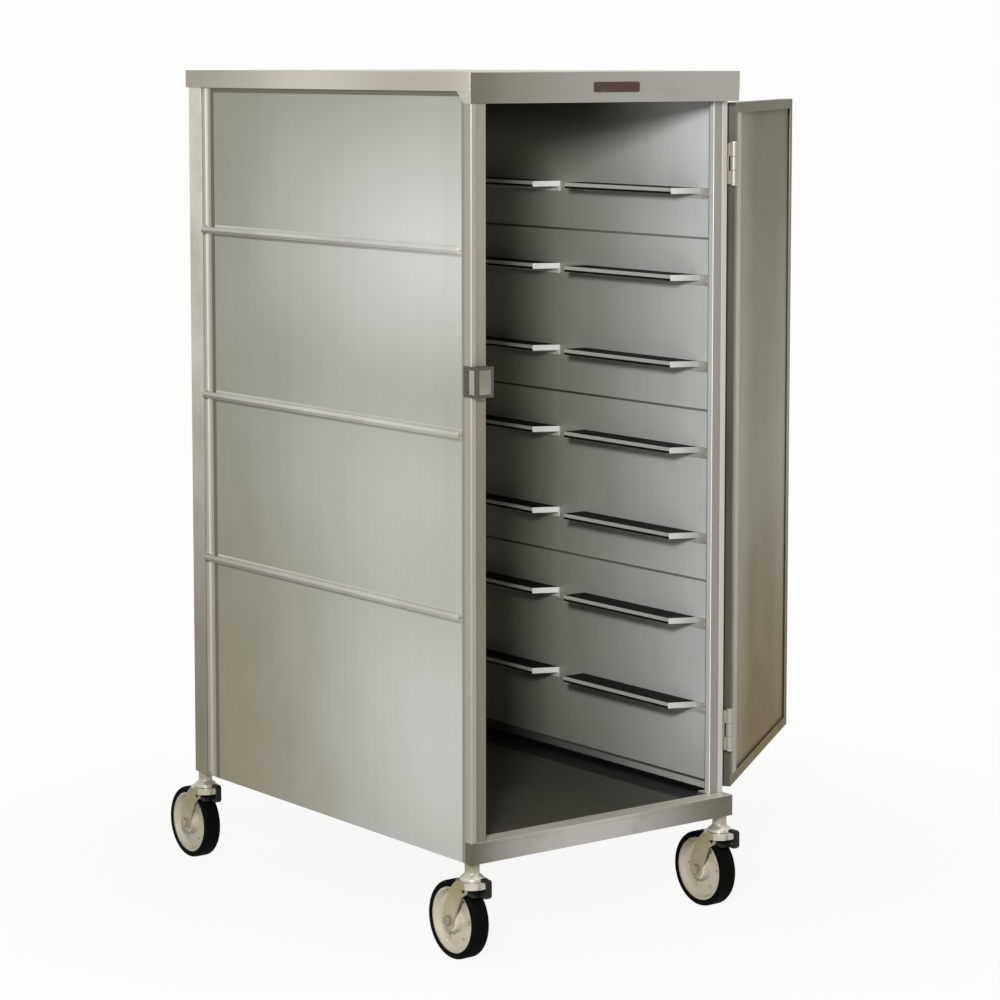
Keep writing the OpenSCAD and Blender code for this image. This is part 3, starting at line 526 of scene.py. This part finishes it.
# the tone paints the doorway's light, pale at the front and dark at the back
brushed_steel("deck_edge", (178, 182, 174), (40, 39, 31), "y", 0.6, metal=0.2, shine=0.2,
              wander=0.05,
              tone=[(Y, [(20, 1.0), (160, 0.8), (300, 0.4), (500, 0.1), (body_d, 0.0)])],
              bands=[(Z, edge_z - 4, edge_z + 1, (70, 72, 64)),
                     (Z, edge_z - 24, edge_z - 15, painted_fold_shade)])
# the tone paints the doorway's light, as on the wall
brushed_steel("seam_dark", (150, 153, 146), (60, 58, 48), "y", 0.5, metal=0.3,
              tone=[(Y, [(20, 1.0), (260, 0.6), (420, 0.25), (700, 0.0)])])
print("the deck's edge ends at", round(edge_z, 1), "mm")

# %% [markdown]
# The keeper and latch are turned and milled pieces with a fine satin, and the keeper's front
# pad gets a darker copy of it, a painted shade. The forks and stems are pressed and zinc
# plated, which is yellower and patchier than steel, and slightly cloudy, so their grain has
# no direction. The stems and forks are painted darker towards the top, as shade under the
# crown and the cabinet.

# %% Plated and turned metal
satin = {"rough": 0.34, "hair": 0.03}
brushed_steel("latch_metal", (160, 156, 148), (140, 136, 127), "z", **satin)
# a darker copy for the keeper's front: painted shade
brushed_steel("keeper_front_shaded", (140, 138, 122), (108, 106, 92), "z", 0.4, hair=0.03, drift=20)
brushed_steel("keeper_edge", (84, 80, 72), (62, 59, 51), "z", 0.45, metal=0.4, hair=0.03)
# the tone paints shade towards the top of the fork's flanks and of the stems
brushed_steel("zinc_side", (172, 161, 141), (140, 133, 96), "none", 0.4, (140, 128, 80),
              drift=22, hair=0.03,
              tone=[(Z, [(40, 1.0), (75, 0.9), (105, 0.25), (140, 0.0)])])
brushed_steel("zinc_plate", (210, 204, 194), (164, 157, 136), "none", 0.32,
              (168, 158, 126), drift=16, hair=0.03)
brushed_steel("stem_plate", (212, 205, 195), (132, 126, 100), "none", **satin, drift=16,
              wander=0.15, tone=[(Z, [(128, 1.0), (138, 0.9), (150, 0.25), (164, 0.0)])])
brushed_steel("nut_metal", (168, 160, 142), (126, 118, 96), "none", **satin, drift=30)
brushed_steel("fastener_steel", (206, 203, 197), (160, 156, 148), "none", 0.28, drift=20)
print("finishes:", len(finishes))

# %% [markdown]
# ## Rubber, paint and moulded plastic
# The tyres are nearly black rubber with a dusty tread. The brake pedals are coated black,
# and shoes have rubbed them. The wheel centres are a moulded cream grey. None of them is a
# metal, so what they need is a tone that varies and a surface that is never quite even.


# %% Dull finishes
def dull_finish(name, base, other, rough, grain=30, bump_mm=0.05, shine=0.4):
    """Files rubber, paint or plastic: two tones in patches, and a fine uneven surface."""
    made, tree = empty_material(name)
    place = node(tree, "ShaderNodeTexCoord").outputs["Object"]
    patch, fine = noise(tree, place, grain, 5, 0.62), noise(tree, place, grain * 25, 3, 0.6)
    colour = mix(tree, spread(tree, patch, 0.55, 0.75, 0, 0.8), seen(*base), seen(*other))
    gloss = sums(tree, "ADD", spread(tree, patch, *usual, rough - 0.06, rough + 0.1),
                 spread(tree, fine, *usual, -0.04, 0.04))
    bump = node(tree, "ShaderNodeBump", {"Height": fine, "Strength": 0.4,
                                         "Distance": bump_mm / 1000}).outputs[0]
    skin = node(tree, "ShaderNodeBsdfPrincipled", {
        "Base Color": colour, "Roughness": gloss, "Normal": bump,
        "Specular IOR Level": shine})
    node(tree, "ShaderNodeOutputMaterial", {0: skin.outputs[0]})
    finishes[name] = made


dull_finish("tyre_rubber", (4, 4, 3), (13, 12, 10), 0.8, shine=0.06)
dull_finish("pedal_black", (10, 9, 8), (24, 23, 22), 0.5, shine=0.25)
dull_finish("wheel_centre", (178, 170, 152), (138, 128, 104), 0.36)
# the hub's face: smoother, and paler as a painted highlight
dull_finish("hub_highlight", (216, 208, 200), (190, 180, 166), 0.3)
dull_finish("bare_plate", (58, 36, 33), (80, 54, 48), 0.4, grain=60, bump_mm=0.02)
print("finishes:", len(finishes))

# %% [markdown]
# Every frame piece has a material slot in the record, such as wall_steel, and most take the
# finish of that name. The pieces that look different get one of their own from a list.

# %% Finishes on the frame's pieces
casters = ("front_left", "front_right", "rear_left", "rear_right")
own_finish = {
    "left_side_sheets": "left_wall", "right_side_sheets": "right_wall",
    "front_left_post": "left_post", "front_right_post": "right_post",
    "rear_posts": "rear_post_steel", "front_header": "header_steel",
    "roof_pan": "roof_steel", "left_side_ribs": "rib_steel", "right_side_ribs": "rib_steel",
    "rear_ribs": "rib_steel", "base_front_sill": "sill_steel",
    "base_side_rails": "rail_steel", "base_rear_rail": "rail_steel",
    "door_outer_pan": "door_skin", "door_hinge_stile": "door_stile",
    "hinge_post_leaves": "stile_steel", "hinge_door_leaves": "stile_steel",
    "caster_stems": "stem_plate"}
own_finish.update({"axle_" + caster: "nut_metal" for caster in casters})
slots = {part["node"]: part["material_slot"] for part in frame["record"]["subparts"]}
body_of = {name: body for body, names in frame["record"]["behaviour"]["bodies"].items()
           for name in names}


def finish_of(name):
    """The name of a frame piece's finish."""
    return own_finish.get(name, slots[name])


for name in slots:
    mesh = nodes[name].data
    mesh.materials.clear()
    mesh.materials.append(finishes[finish_of(name)])
print("dressed", len(slots), "frame pieces")

# %% [markdown]
# ## Working by hand, in code
# The pieces are shaped with the same tools as by hand. An operator acts on whatever is
# selected, so one helper clears the selection and opens a piece for editing, and two select
# faces or edges by a rule, by where they lie and which way they face.


# %% Selecting
def open_piece(piece):
    """Makes a piece the only selected one and goes into edit mode with nothing selected."""
    if bpy.context.object and bpy.context.object.mode == "EDIT":
        bpy.ops.object.mode_set(mode="OBJECT")
    bpy.ops.object.select_all(action="DESELECT")
    bpy.context.view_layer.objects.active = piece
    piece.select_set(True)
    bpy.ops.object.mode_set(mode="EDIT")
    bpy.ops.mesh.select_all(action="DESELECT")
    bpy.ops.mesh.select_mode(type="FACE")


def pick_faces(piece, rule):
    """Selects the faces for which rule(middle, normal) is true."""
    bpy.ops.mesh.select_all(action="DESELECT")
    work = bmesh.from_edit_mesh(piece.data)
    for face in work.faces:
        face.select_set(bool(rule(face.calc_center_median(), face.normal)))
    work.select_flush_mode()
    bmesh.update_edit_mesh(piece.data)


def pick_edges(piece, rule):
    """Selects the edges for which rule(middle, its two faces' normals) is true."""
    bpy.ops.mesh.select_all(action="DESELECT")
    bpy.ops.mesh.select_mode(type="EDGE")
    work = bmesh.from_edit_mesh(piece.data)
    for edge in work.edges:
        normals = [face.normal for face in edge.link_faces]
        middle = (edge.verts[0].co + edge.verts[1].co) / 2
        edge.select_set(len(normals) == 2 and bool(rule(middle, normals)))
    bmesh.update_edit_mesh(piece.data)


print("selecting helpers ready")

# %% [markdown]
# A finished piece keeps its place in its mesh, as the frame's pieces do, and its modifiers
# are applied. One helper then files it with its body, node and finish. Its normals are
# weighted by area, so that a rounded fold doesn't bend the shading of the flat beside it.


# %% Finishing a piece
def settle(piece):
    """Leaves edit mode and brings the piece's place into its mesh."""
    if piece.mode == "EDIT":
        bpy.ops.object.mode_set(mode="OBJECT")
    bpy.ops.object.select_all(action="DESELECT")
    piece.select_set(True)
    bpy.context.view_layer.objects.active = piece
    bpy.ops.object.transform_apply(location=True, rotation=True, scale=True)


def apply(piece, kind, **settings):
    """Adds a modifier, sets it and applies it."""
    made = piece.modifiers.new(kind.lower(), kind)
    for name, value in settings.items():
        setattr(made, name, value)
    settle(piece)
    bpy.ops.object.modifier_apply(modifier=made.name)


def ease_edges(piece, width, rounds=2, from_deg=32):
    """Rounds every edge that is sharper than an angle; width is in metres."""
    apply(piece, "BEVEL", width=width, segments=rounds, limit_method="ANGLE",
          angle_limit=radians(from_deg), use_clamp_overlap=True)


def file_piece(piece, name, finish, smooth_deg=35):
    """Names a piece that stands for a frame node, and gives it body and finish."""
    settle(piece)
    bpy.ops.object.shade_smooth_by_angle(angle=radians(smooth_deg))
    apply(piece, "WEIGHTED_NORMAL", mode="FACE_AREA", weight=100, keep_sharp=True)
    piece.name = piece.data.name = name + "_piece"
    piece.data.materials.clear()
    piece.data.materials.append(finishes[finish])
    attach(piece, body_of[name])
    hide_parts(name)
    return piece


print("finishing helpers ready")

# %% [markdown]
# ## Soft folds
# A folded sheet has a round edge of about its own thickness, which catches a thin line of
# light. The frame's edges are sharp. A copy of each folded piece is merged and cleaned of
# the seams between its triangles, and then its edges are rounded by half a millimetre.


# %% Soft folds
def cleaned_copy(name):
    """A copy of a frame piece, merged and without the seams in its flat faces."""
    piece = bpy.data.objects.new(name + "_soft", nodes[name].data.copy())
    bpy.context.scene.collection.objects.link(piece)
    open_piece(piece)
    bpy.ops.mesh.select_all(action="SELECT")
    bpy.ops.mesh.remove_doubles(threshold=1e-6)
    bpy.ops.mesh.dissolve_limited(angle_limit=radians(0.6))
    bpy.ops.object.mode_set(mode="OBJECT")
    return piece


def parted(piece, point, across):
    """Parts a piece's faces along a plane, so that a second finish can start there."""
    open_piece(piece)
    bpy.ops.mesh.select_all(action="SELECT")
    bpy.ops.mesh.bisect(plane_co=point, plane_no=across)
    bpy.ops.object.mode_set(mode="OBJECT")


def softened(name, width_mm=0.5, rounds=2, smooth_deg=35, cuts=()):
    """A copy of a frame piece with rounded edges, which stands for it; cuts are heights at
    which its faces are parted."""
    piece = cleaned_copy(name)
    for height in cuts:
        parted(piece, at(0, 0, height), (0, 0, 1))
    ease_edges(piece, width_mm / 1000, rounds)
    return file_piece(piece, name, finish_of(name), smooth_deg)


folded = ["front_left_post", "front_right_post", "rear_posts", "front_header", "roof_pan",
          "base_front_sill", "deck_pan", "left_side_sheets", "right_side_sheets",
          "rear_sheets", "left_side_ribs", "right_side_ribs", "rear_ribs", "door_outer_pan",
          "door_inner_sheet", "door_hinge_stile", "hinge_post_leaves", "hinge_door_leaves",
          "latch_plate_base", "latch_lever", "latch_pivot_bolt"]
soft = {name: softened(name, cuts=rib_levels if name == "right_side_ribs" else ())
        for name in folded}
print("softened", len(soft), "pieces with",
      sum(len(piece.data.polygons) for piece in soft.values()), "faces")

# %% [markdown]
# Some places look quite different from the rest of their piece. The header's ends go on
# from the roof's side rims, and the sill's top catches the light, which its paler finish
# paints as a highlight. The right wall has the header's shade on its inside only, so its
# outside looks like the left wall. Such faces get a second finish, chosen by the way they
# face.


# %% Second finishes
def second_finish(piece, finish, rule):
    """Gives a second finish to the faces for which rule(middle, normal) is true."""
    piece.data.materials.append(finishes[finish])
    last, count = len(piece.data.materials) - 1, 0
    for face in piece.data.polygons:
        if rule(face.center, face.normal):
            face.material_index = last
            count += 1
    return count


print("header ends:", second_finish(soft["front_header"], "roof_steel",
                                    lambda middle, normal: abs(normal.x) > 0.7))
print("right wall outside:", second_finish(soft["right_side_sheets"], "left_wall",
                                           lambda middle, normal: normal.x > 0.3))
print("sill top:", second_finish(soft["base_front_sill"], "sill_top_highlight",
                                 lambda middle, normal: normal.z > 0.7))

# %% [markdown]
# Inside the cart a rib shows only as a seam in the wall, with a thin dark line under its
# middle. The ribs of the right wall were parted at mid height, so their inner faces can be
# wall above and dark below. The deck's turned-up edge belongs to the wall's look too.


# %% Seams and deck edge
def below_a_rib(height):
    """True in the 6 mm under the middle of a rib, for a height in metres."""
    return any(0 < rib - height * 1000 < 6 for rib in rib_levels)


print("ribs like the wall:", second_finish(soft["right_side_ribs"], "right_wall",
                                           lambda middle, normal: normal.x < 0.5))
print("seams:", second_finish(
    soft["right_side_ribs"], "seam_dark",
    lambda middle, normal: normal.x < 0.5 and below_a_rib(middle.z)))
print("deck edge:", second_finish(soft["deck_pan"], "deck_edge",
                                  lambda middle, normal: abs(normal.z) < 0.9))

# %% [markdown]
# The door stands open at an angle, so its faces don't look along an axis. Two directions
# are worked out from the frame: from the door's middle to its hinges, and from its skin to
# its inner sheet. The edge by the hinges lies in the gap beside the post, and its dark
# finish paints the shade there; the lips go on from the inner sheet's painted tones.

# %% Door edge and lips
hinge_pin = at(body_w + 10, 20, 0)
edge_near, lips_far, roof_gap = 0.03, 0.05, 0.03
door_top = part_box("door_outer_pan")[1].z
edge_way = hinge_pin - middle_of("door_outer_pan")
edge_way.z = 0
edge_way.normalize()
inwards = Vector((-edge_way.y, edge_way.x, 0))
if inwards.dot(middle_of("door_inner_sheet") - middle_of("door_outer_pan")) < 0:
    inwards = -inwards


def from_hinge(middle):
    """The distance from the hinges' line, in metres."""
    return (middle.xy - hinge_pin.xy).length


print("door edge:", second_finish(
    soft["door_outer_pan"], "door_edge", lambda middle, normal:
    normal.dot(edge_way) > 0.8 and from_hinge(middle) < edge_near))
print("door lips:", second_finish(
    soft["door_outer_pan"], "door_lip", lambda middle, normal:
    normal.dot(inwards) > 0.6 and middle.z < door_top - roof_gap
    and from_hinge(middle) > lips_far))

# %% [markdown]
# ## Tray ledges
# A ledge is an angle with a turned-down lip. From the doorway its top looks nearly black,
# because it mirrors the dark above it, and the lip's lower half falls into shade too. Both
# are painted into the colour: the lip is parted along its length, and the top and the lip's
# foot get a dark finish, a painted reflection and painted shade.

# %% Tray ledges
first_shelf, shelf_pitch, bright_lip = 0.341, 0.145, 0.0062
half_w, flange_m = body_w / 2000, 0.02


def ledge_level(level):
    """Softens one level of ledges, and gives its tops a painted dark reflection and the foot
    of its lips painted shade.
    """
    name = f"tray_ledges_{level}"
    piece = cleaned_copy(name)
    lip_cut = first_shelf + shelf_pitch * (level - 1) - bright_lip
    parted(piece, (0, 0, lip_cut), (0, 0, 1))
    ease_edges(piece, 0.0003)
    file_piece(piece, name, "ledge_steel")

    def is_dark(middle, normal):
        from_wall = half_w - abs(middle.x - corner.x - half_w)
        foot = (abs(normal.x) > 0.7 and from_wall > flange_m
                and middle.z < lip_cut - 0.0001)
        return abs(normal.z) > 0.6 or foot

    return second_finish(piece, "ledge_top", is_dark)


for level in range(1, 8):
    print("ledge level", level, "has", ledge_level(level), "dark faces")

# %% [markdown]
# ## Keeper
# The keeper stands on the left front post, and the latch's lever turns over it. Its raised
# faces are pale and the frame around them is dark, so its faces are told apart by where
# they lie, and its front is parted where the pale pad ends.

# %% Keeper
keeper = cleaned_copy("latch_keeper")
low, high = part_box("latch_keeper")
pad, pad_right = 0.001, high.x - 0.0065
parted(keeper, (pad_right, 0, 0), (1, 0, 0))
ease_edges(keeper, 0.0004)
file_piece(keeper, "latch_keeper", "latch_metal")
print("dark faces:", second_finish(
    keeper, "keeper_edge", lambda middle, normal:
    not (middle.x < low.x + pad / 3 and normal.x < -0.7)))
# the front pad gets the darker copy: painted shade
print("front faces:", second_finish(
    keeper, "keeper_front_shaded", lambda middle, normal:
    middle.y < low.y + pad / 3 and normal.y < -0.7 and middle.x < pad_right))

# %% [markdown]
# ## Screws
# The frame's screw heads are plain domes. A real pan head has a flat crown, a round shoulder
# and a cross recess. One is turned from a short cylinder, its rim is bevelled, and two bars
# are cut out of it.


# %% One screw
head_r, head_h = 0.003, 0.0012


def pan_head():
    """A pan head on its foot at the origin, facing up."""
    bpy.ops.object.select_all(action="DESELECT")
    bpy.ops.mesh.primitive_cylinder_add(vertices=32, radius=head_r, depth=head_h,
                                        location=(0, 0, head_h / 2))
    head = bpy.context.object
    open_piece(head)
    pick_edges(head, lambda middle, normals: middle.z > head_h * 0.4 and max(
        n.z for n in normals) > 0.9 and min(n.z for n in normals) < 0.1)
    shoulder = head_h * 0.75
    bpy.ops.mesh.bevel(offset=shoulder, segments=4, profile=0.5)
    settle(head)
    bar_l, bar_w, bar_h = head_r * 1.1, head_r * 0.24, head_h * 0.9
    for size in ((bar_l, bar_w, bar_h), (bar_w, bar_l, bar_h)):
        bpy.ops.mesh.primitive_cube_add(size=1, location=(0, 0, head_h))
        bar = bpy.context.object
        bar.scale = size
        settle(bar)
        apply(head, "BOOLEAN", operation="DIFFERENCE", object=bar, solver="EXACT")
        bpy.data.objects.remove(bar)
    return head


screw = pan_head()
print("one screw has", len(screw.data.polygons), "faces")

# %% [markdown]
# The screw is copied to every head of the frame. Measuring each place by hand would be slow,
# so the frame's own heads give it: the foot of a head is its widest flat face.


# %% Screws in place
def feet_of(name):
    """For every loose part of a frame piece: its foot's middle, its way, radius, height."""
    copy = cleaned_copy(name)
    open_piece(copy)
    bpy.ops.mesh.select_all(action="SELECT")
    bpy.ops.mesh.separate(type="LOOSE")
    bpy.ops.object.mode_set(mode="OBJECT")
    found = []
    for part in list(bpy.context.selected_objects):
        foot = max(part.data.polygons, key=lambda face: face.area)
        points = [part.data.vertices[i].co for i in foot.vertices]
        middle = sum(points, Vector()) / len(points)
        way = -foot.normal
        height = max((v.co - middle).dot(way) for v in part.data.vertices)
        found.append((middle, way, (points[0] - middle).length, height))
        bpy.data.objects.remove(part)
    return found


def screws_for(name, finish="fastener_steel"):
    """Copies the screw to every head of a frame piece and joins the copies."""
    copies = []
    for middle, way, radius, height in feet_of(name):
        copy = bpy.data.objects.new("screw_copy", screw.data.copy())
        bpy.context.scene.collection.objects.link(copy)
        turn = way.to_track_quat("Z", "Y").to_matrix().to_4x4()
        size = Matrix.Diagonal((radius / head_r, radius / head_r, height / head_h, 1))
        copy.data.transform(Matrix.Translation(middle) @ turn @ size)
        copies.append(copy)
    bpy.ops.object.select_all(action="DESELECT")
    for copy in copies:
        copy.select_set(True)
    bpy.context.view_layer.objects.active = copies[0]
    bpy.ops.object.join()
    file_piece(copies[0], name, finish)
    return len(copies)


print("keeper_screws", screws_for("keeper_screws", "keeper_edge"))
for name in ("latch_screws", "hinge_post_screws", "hinge_door_screws"):
    print(name, screws_for(name))
bpy.data.objects.remove(screw)

# %% [markdown]
# ## Bare plate
# The header carries a small dark plate, left bare here. A plane could stand for it, but a
# real plate throws a thin shadow and its edge catches the light. So it is a cube made thin,
# with its corners rounded from the front, its face sunk inside a narrow border, and its
# edges eased.

# %% Bare plate
plate_left, plate_right, plate_foot, plate_top, plate_t = 241, 335, 1372, 1388.5, 1
corner_r, border, border_edge, sunk = 0.004, 0.0012, 0.0004, 0.0003
header_face = (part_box("front_header")[0].y - corner.y) * 1000
plate_low = at(plate_left, header_face - plate_t, plate_foot)
plate_high = at(plate_right, header_face, plate_top)
bpy.ops.object.select_all(action="DESELECT")
bpy.ops.mesh.primitive_cube_add(size=1, location=(plate_low + plate_high) / 2)
plate = bpy.context.object
plate.scale = plate_high - plate_low
settle(plate)
open_piece(plate)
pick_edges(plate, lambda middle, normals: all(abs(n.y) < 0.1 for n in normals))
bpy.ops.mesh.bevel(offset=corner_r, segments=5, profile=0.5)
bpy.ops.mesh.select_mode(type="FACE")
pick_faces(plate, lambda middle, normal: normal.y < -0.9)
bpy.ops.mesh.inset(thickness=border, depth=0)
bpy.ops.mesh.inset(thickness=border_edge, depth=-sunk)
settle(plate)
apply(plate, "BEVEL", width=0.0002, segments=2, limit_method="ANGLE", angle_limit=radians(40))
bpy.ops.object.shade_smooth_by_angle(angle=radians(35))
plate.name = plate.data.name = "header_bare_plate"
plate.data.materials.append(finishes["bare_plate"])
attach(plate, "cabinet")
print("plate", [round(v * 1000, 1) for v in plate.dimensions], "mm")

# %% [markdown]
# ## Caster wheels
# A caster wheel is a moulded centre with a rubber tyre. Both are turned shapes. A spun
# outline could make them, but here both start as a cylinder on the axle line, and insets
# make their steps, because each inset is one step that a lathe would cut.


# %% Wheel tools
def step(narrower, out=0.0):
    """Insets the selected faces and moves them along their normals, in metres."""
    bpy.ops.mesh.inset(thickness=narrower, depth=out, use_even_offset=True)


def lying_cylinder(radius, width):
    """A cylinder on the x axis, open for editing with its two ends selected."""
    bpy.ops.object.select_all(action="DESELECT")
    bpy.ops.mesh.primitive_cylinder_add(vertices=96, radius=radius, depth=width,
                                        rotation=(0, pi / 2, 0))
    made = bpy.context.object
    settle(made)
    open_piece(made)
    pick_faces(made, lambda middle, normal: abs(normal.x) > 0.9)
    return made


wheel_r, tyre_t, tyre_w = 0.0635, 0.010, 0.030
print("a wheel is", round(wheel_r * 2000), "mm across")

# %% [markdown]
# The tyre is a ring: its two ends are inset and bridged, which opens the middle. Its
# shoulders are bevelled round. The tread keeps a thin parting groove, where the two halves
# of a mould meet.

# %% Tyre
shoulder, groove_half, groove_deep, skin = 0.005, 0.0006, 0.0006, 0.001
tyre = lying_cylinder(wheel_r, tyre_w)
step(tyre_t)
bpy.ops.mesh.bridge_edge_loops()
pick_edges(tyre, lambda middle, normals: abs(middle.x) > tyre_w / 2 - 1e-4
           and middle.yz.length > wheel_r - skin and abs(normals[0].x - normals[1].x) > 0.5)
bpy.ops.mesh.bevel(offset=shoulder, segments=6, profile=0.5)
for side in (-groove_half, groove_half):
    bpy.ops.mesh.select_all(action="SELECT")
    bpy.ops.mesh.bisect(plane_co=(side, 0, 0), plane_no=(1, 0, 0))
bpy.ops.mesh.select_mode(type="FACE")
pick_faces(tyre, lambda middle, normal: abs(middle.x) < groove_half
           and middle.yz.length > wheel_r - skin)
bpy.ops.mesh.extrude_region_shrink_fatten(
    TRANSFORM_OT_shrink_fatten={"value": -groove_deep})
settle(tyre)
print("tyre", [round(v * 1000, 1) for v in tyre.dimensions], "mm,", len(tyre.data.polygons))

# %% [markdown]
# The centre has a rim, a thin web and a hub that stands proud of both. The insets lead from
# the rim inwards to the bore, and bridging the last two faces opens it. Six holes are
# punched in the web, and then every edge is eased, as on a moulding.

# %% Wheel centre
wheel_low, wheel_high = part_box("wheel_front_left")
hub_half = (wheel_high.x - wheel_low.x) / 2
rim_half, web_half, hub_rise, hub_chamfer = tyre_w / 2 - 0.002, 0.004, 0.001, 0.002
centre = lying_cylinder(wheel_r - tyre_t, rim_half * 2)
step(0.004)                       # the rim's flat edge
step(0.004, web_half - rim_half)  # down to the web
step(0.0195)                      # the web
step(0.005, hub_rise)             # a slope up to the hub
step(0.003, hub_half - hub_chamfer - (web_half + hub_rise))  # the hub's flank
step(hub_chamfer, hub_chamfer)    # its chamfer
step(0.003)                       # its face
step(0.001, -0.001)               # the nut's seat
step(0.0045)                      # in to the bore
bpy.ops.mesh.bridge_edge_loops()
settle(centre)
print("wheel centre", [round(v * 1000, 1) for v in centre.dimensions], "mm")

# %% Wheel centre's holes and edges
holes, hole_r, hole_ring = 6, 0.004, 0.03575
for i in range(holes):
    turn = i * 2 * pi / holes
    bpy.ops.mesh.primitive_cylinder_add(
        vertices=24, radius=hole_r, depth=0.03, rotation=(0, pi / 2, 0),
        location=(0, hole_ring * cos(turn), hole_ring * sin(turn)))
    punch = bpy.context.object
    apply(centre, "BOOLEAN", operation="DIFFERENCE", object=punch, solver="EXACT")
    bpy.data.objects.remove(punch)
ease_edges(centre, 0.0005, from_deg=25)
print("wheel centre has", len(centre.data.polygons), "faces")

# %% [markdown]
# The four wheels are alike, so each gets copies with meshes of their own, set at the middle
# of the frame's wheel. The hub's face gets a smoother finish, paler as a painted highlight,
# so it is picked by its distance from the axle.


# %% Wheels in place
def copy_to(model, name, finish, smooth_deg=35):
    """A copy of a model that was made at the origin, at the middle of a frame piece."""
    copy = bpy.data.objects.new(name + "_copy", model.data.copy())
    bpy.context.scene.collection.objects.link(copy)
    copy.data.transform(Matrix.Translation(middle_of(name)))
    return file_piece(copy, name, finish, smooth_deg)


hub_face_r, hub_face_out = 0.0155, 0.008
for caster in casters:
    copy_to(tyre, "tyre_" + caster, "tyre_rubber")
    wheel = copy_to(centre, "wheel_" + caster, "wheel_centre", 25)
    axle = middle_of("wheel_" + caster)
    second_finish(wheel, "hub_highlight", lambda middle, normal:
                  (middle - axle).yz.length < hub_face_r
                  and abs(middle.x - axle.x) > hub_face_out)
for model in (tyre, centre):
    bpy.data.objects.remove(model)

# %% [markdown]
# ## Forks, brakes and stems
# The fork is a stamping with rolled edges, and the brake pedal is a casting, so both only
# need rounder edges than the sheets. A fork's flanks are in the wheel's shade and get the
# darker zinc. The axle nuts get a chamfer, as real nuts have.

# %% Forks, brakes and stems
for caster in casters:
    fork = softened("fork_" + caster, 0.7, 3, smooth_deg=30)
    second_finish(fork, "zinc_side", lambda middle, normal: abs(normal.x) > 0.9)
    softened("brake_" + caster, 1.2, 3, smooth_deg=30)
    softened("axle_" + caster, 0.6, 2, smooth_deg=30)
softened("caster_stems", 0.4, 2, smooth_deg=30)
print("casters done")
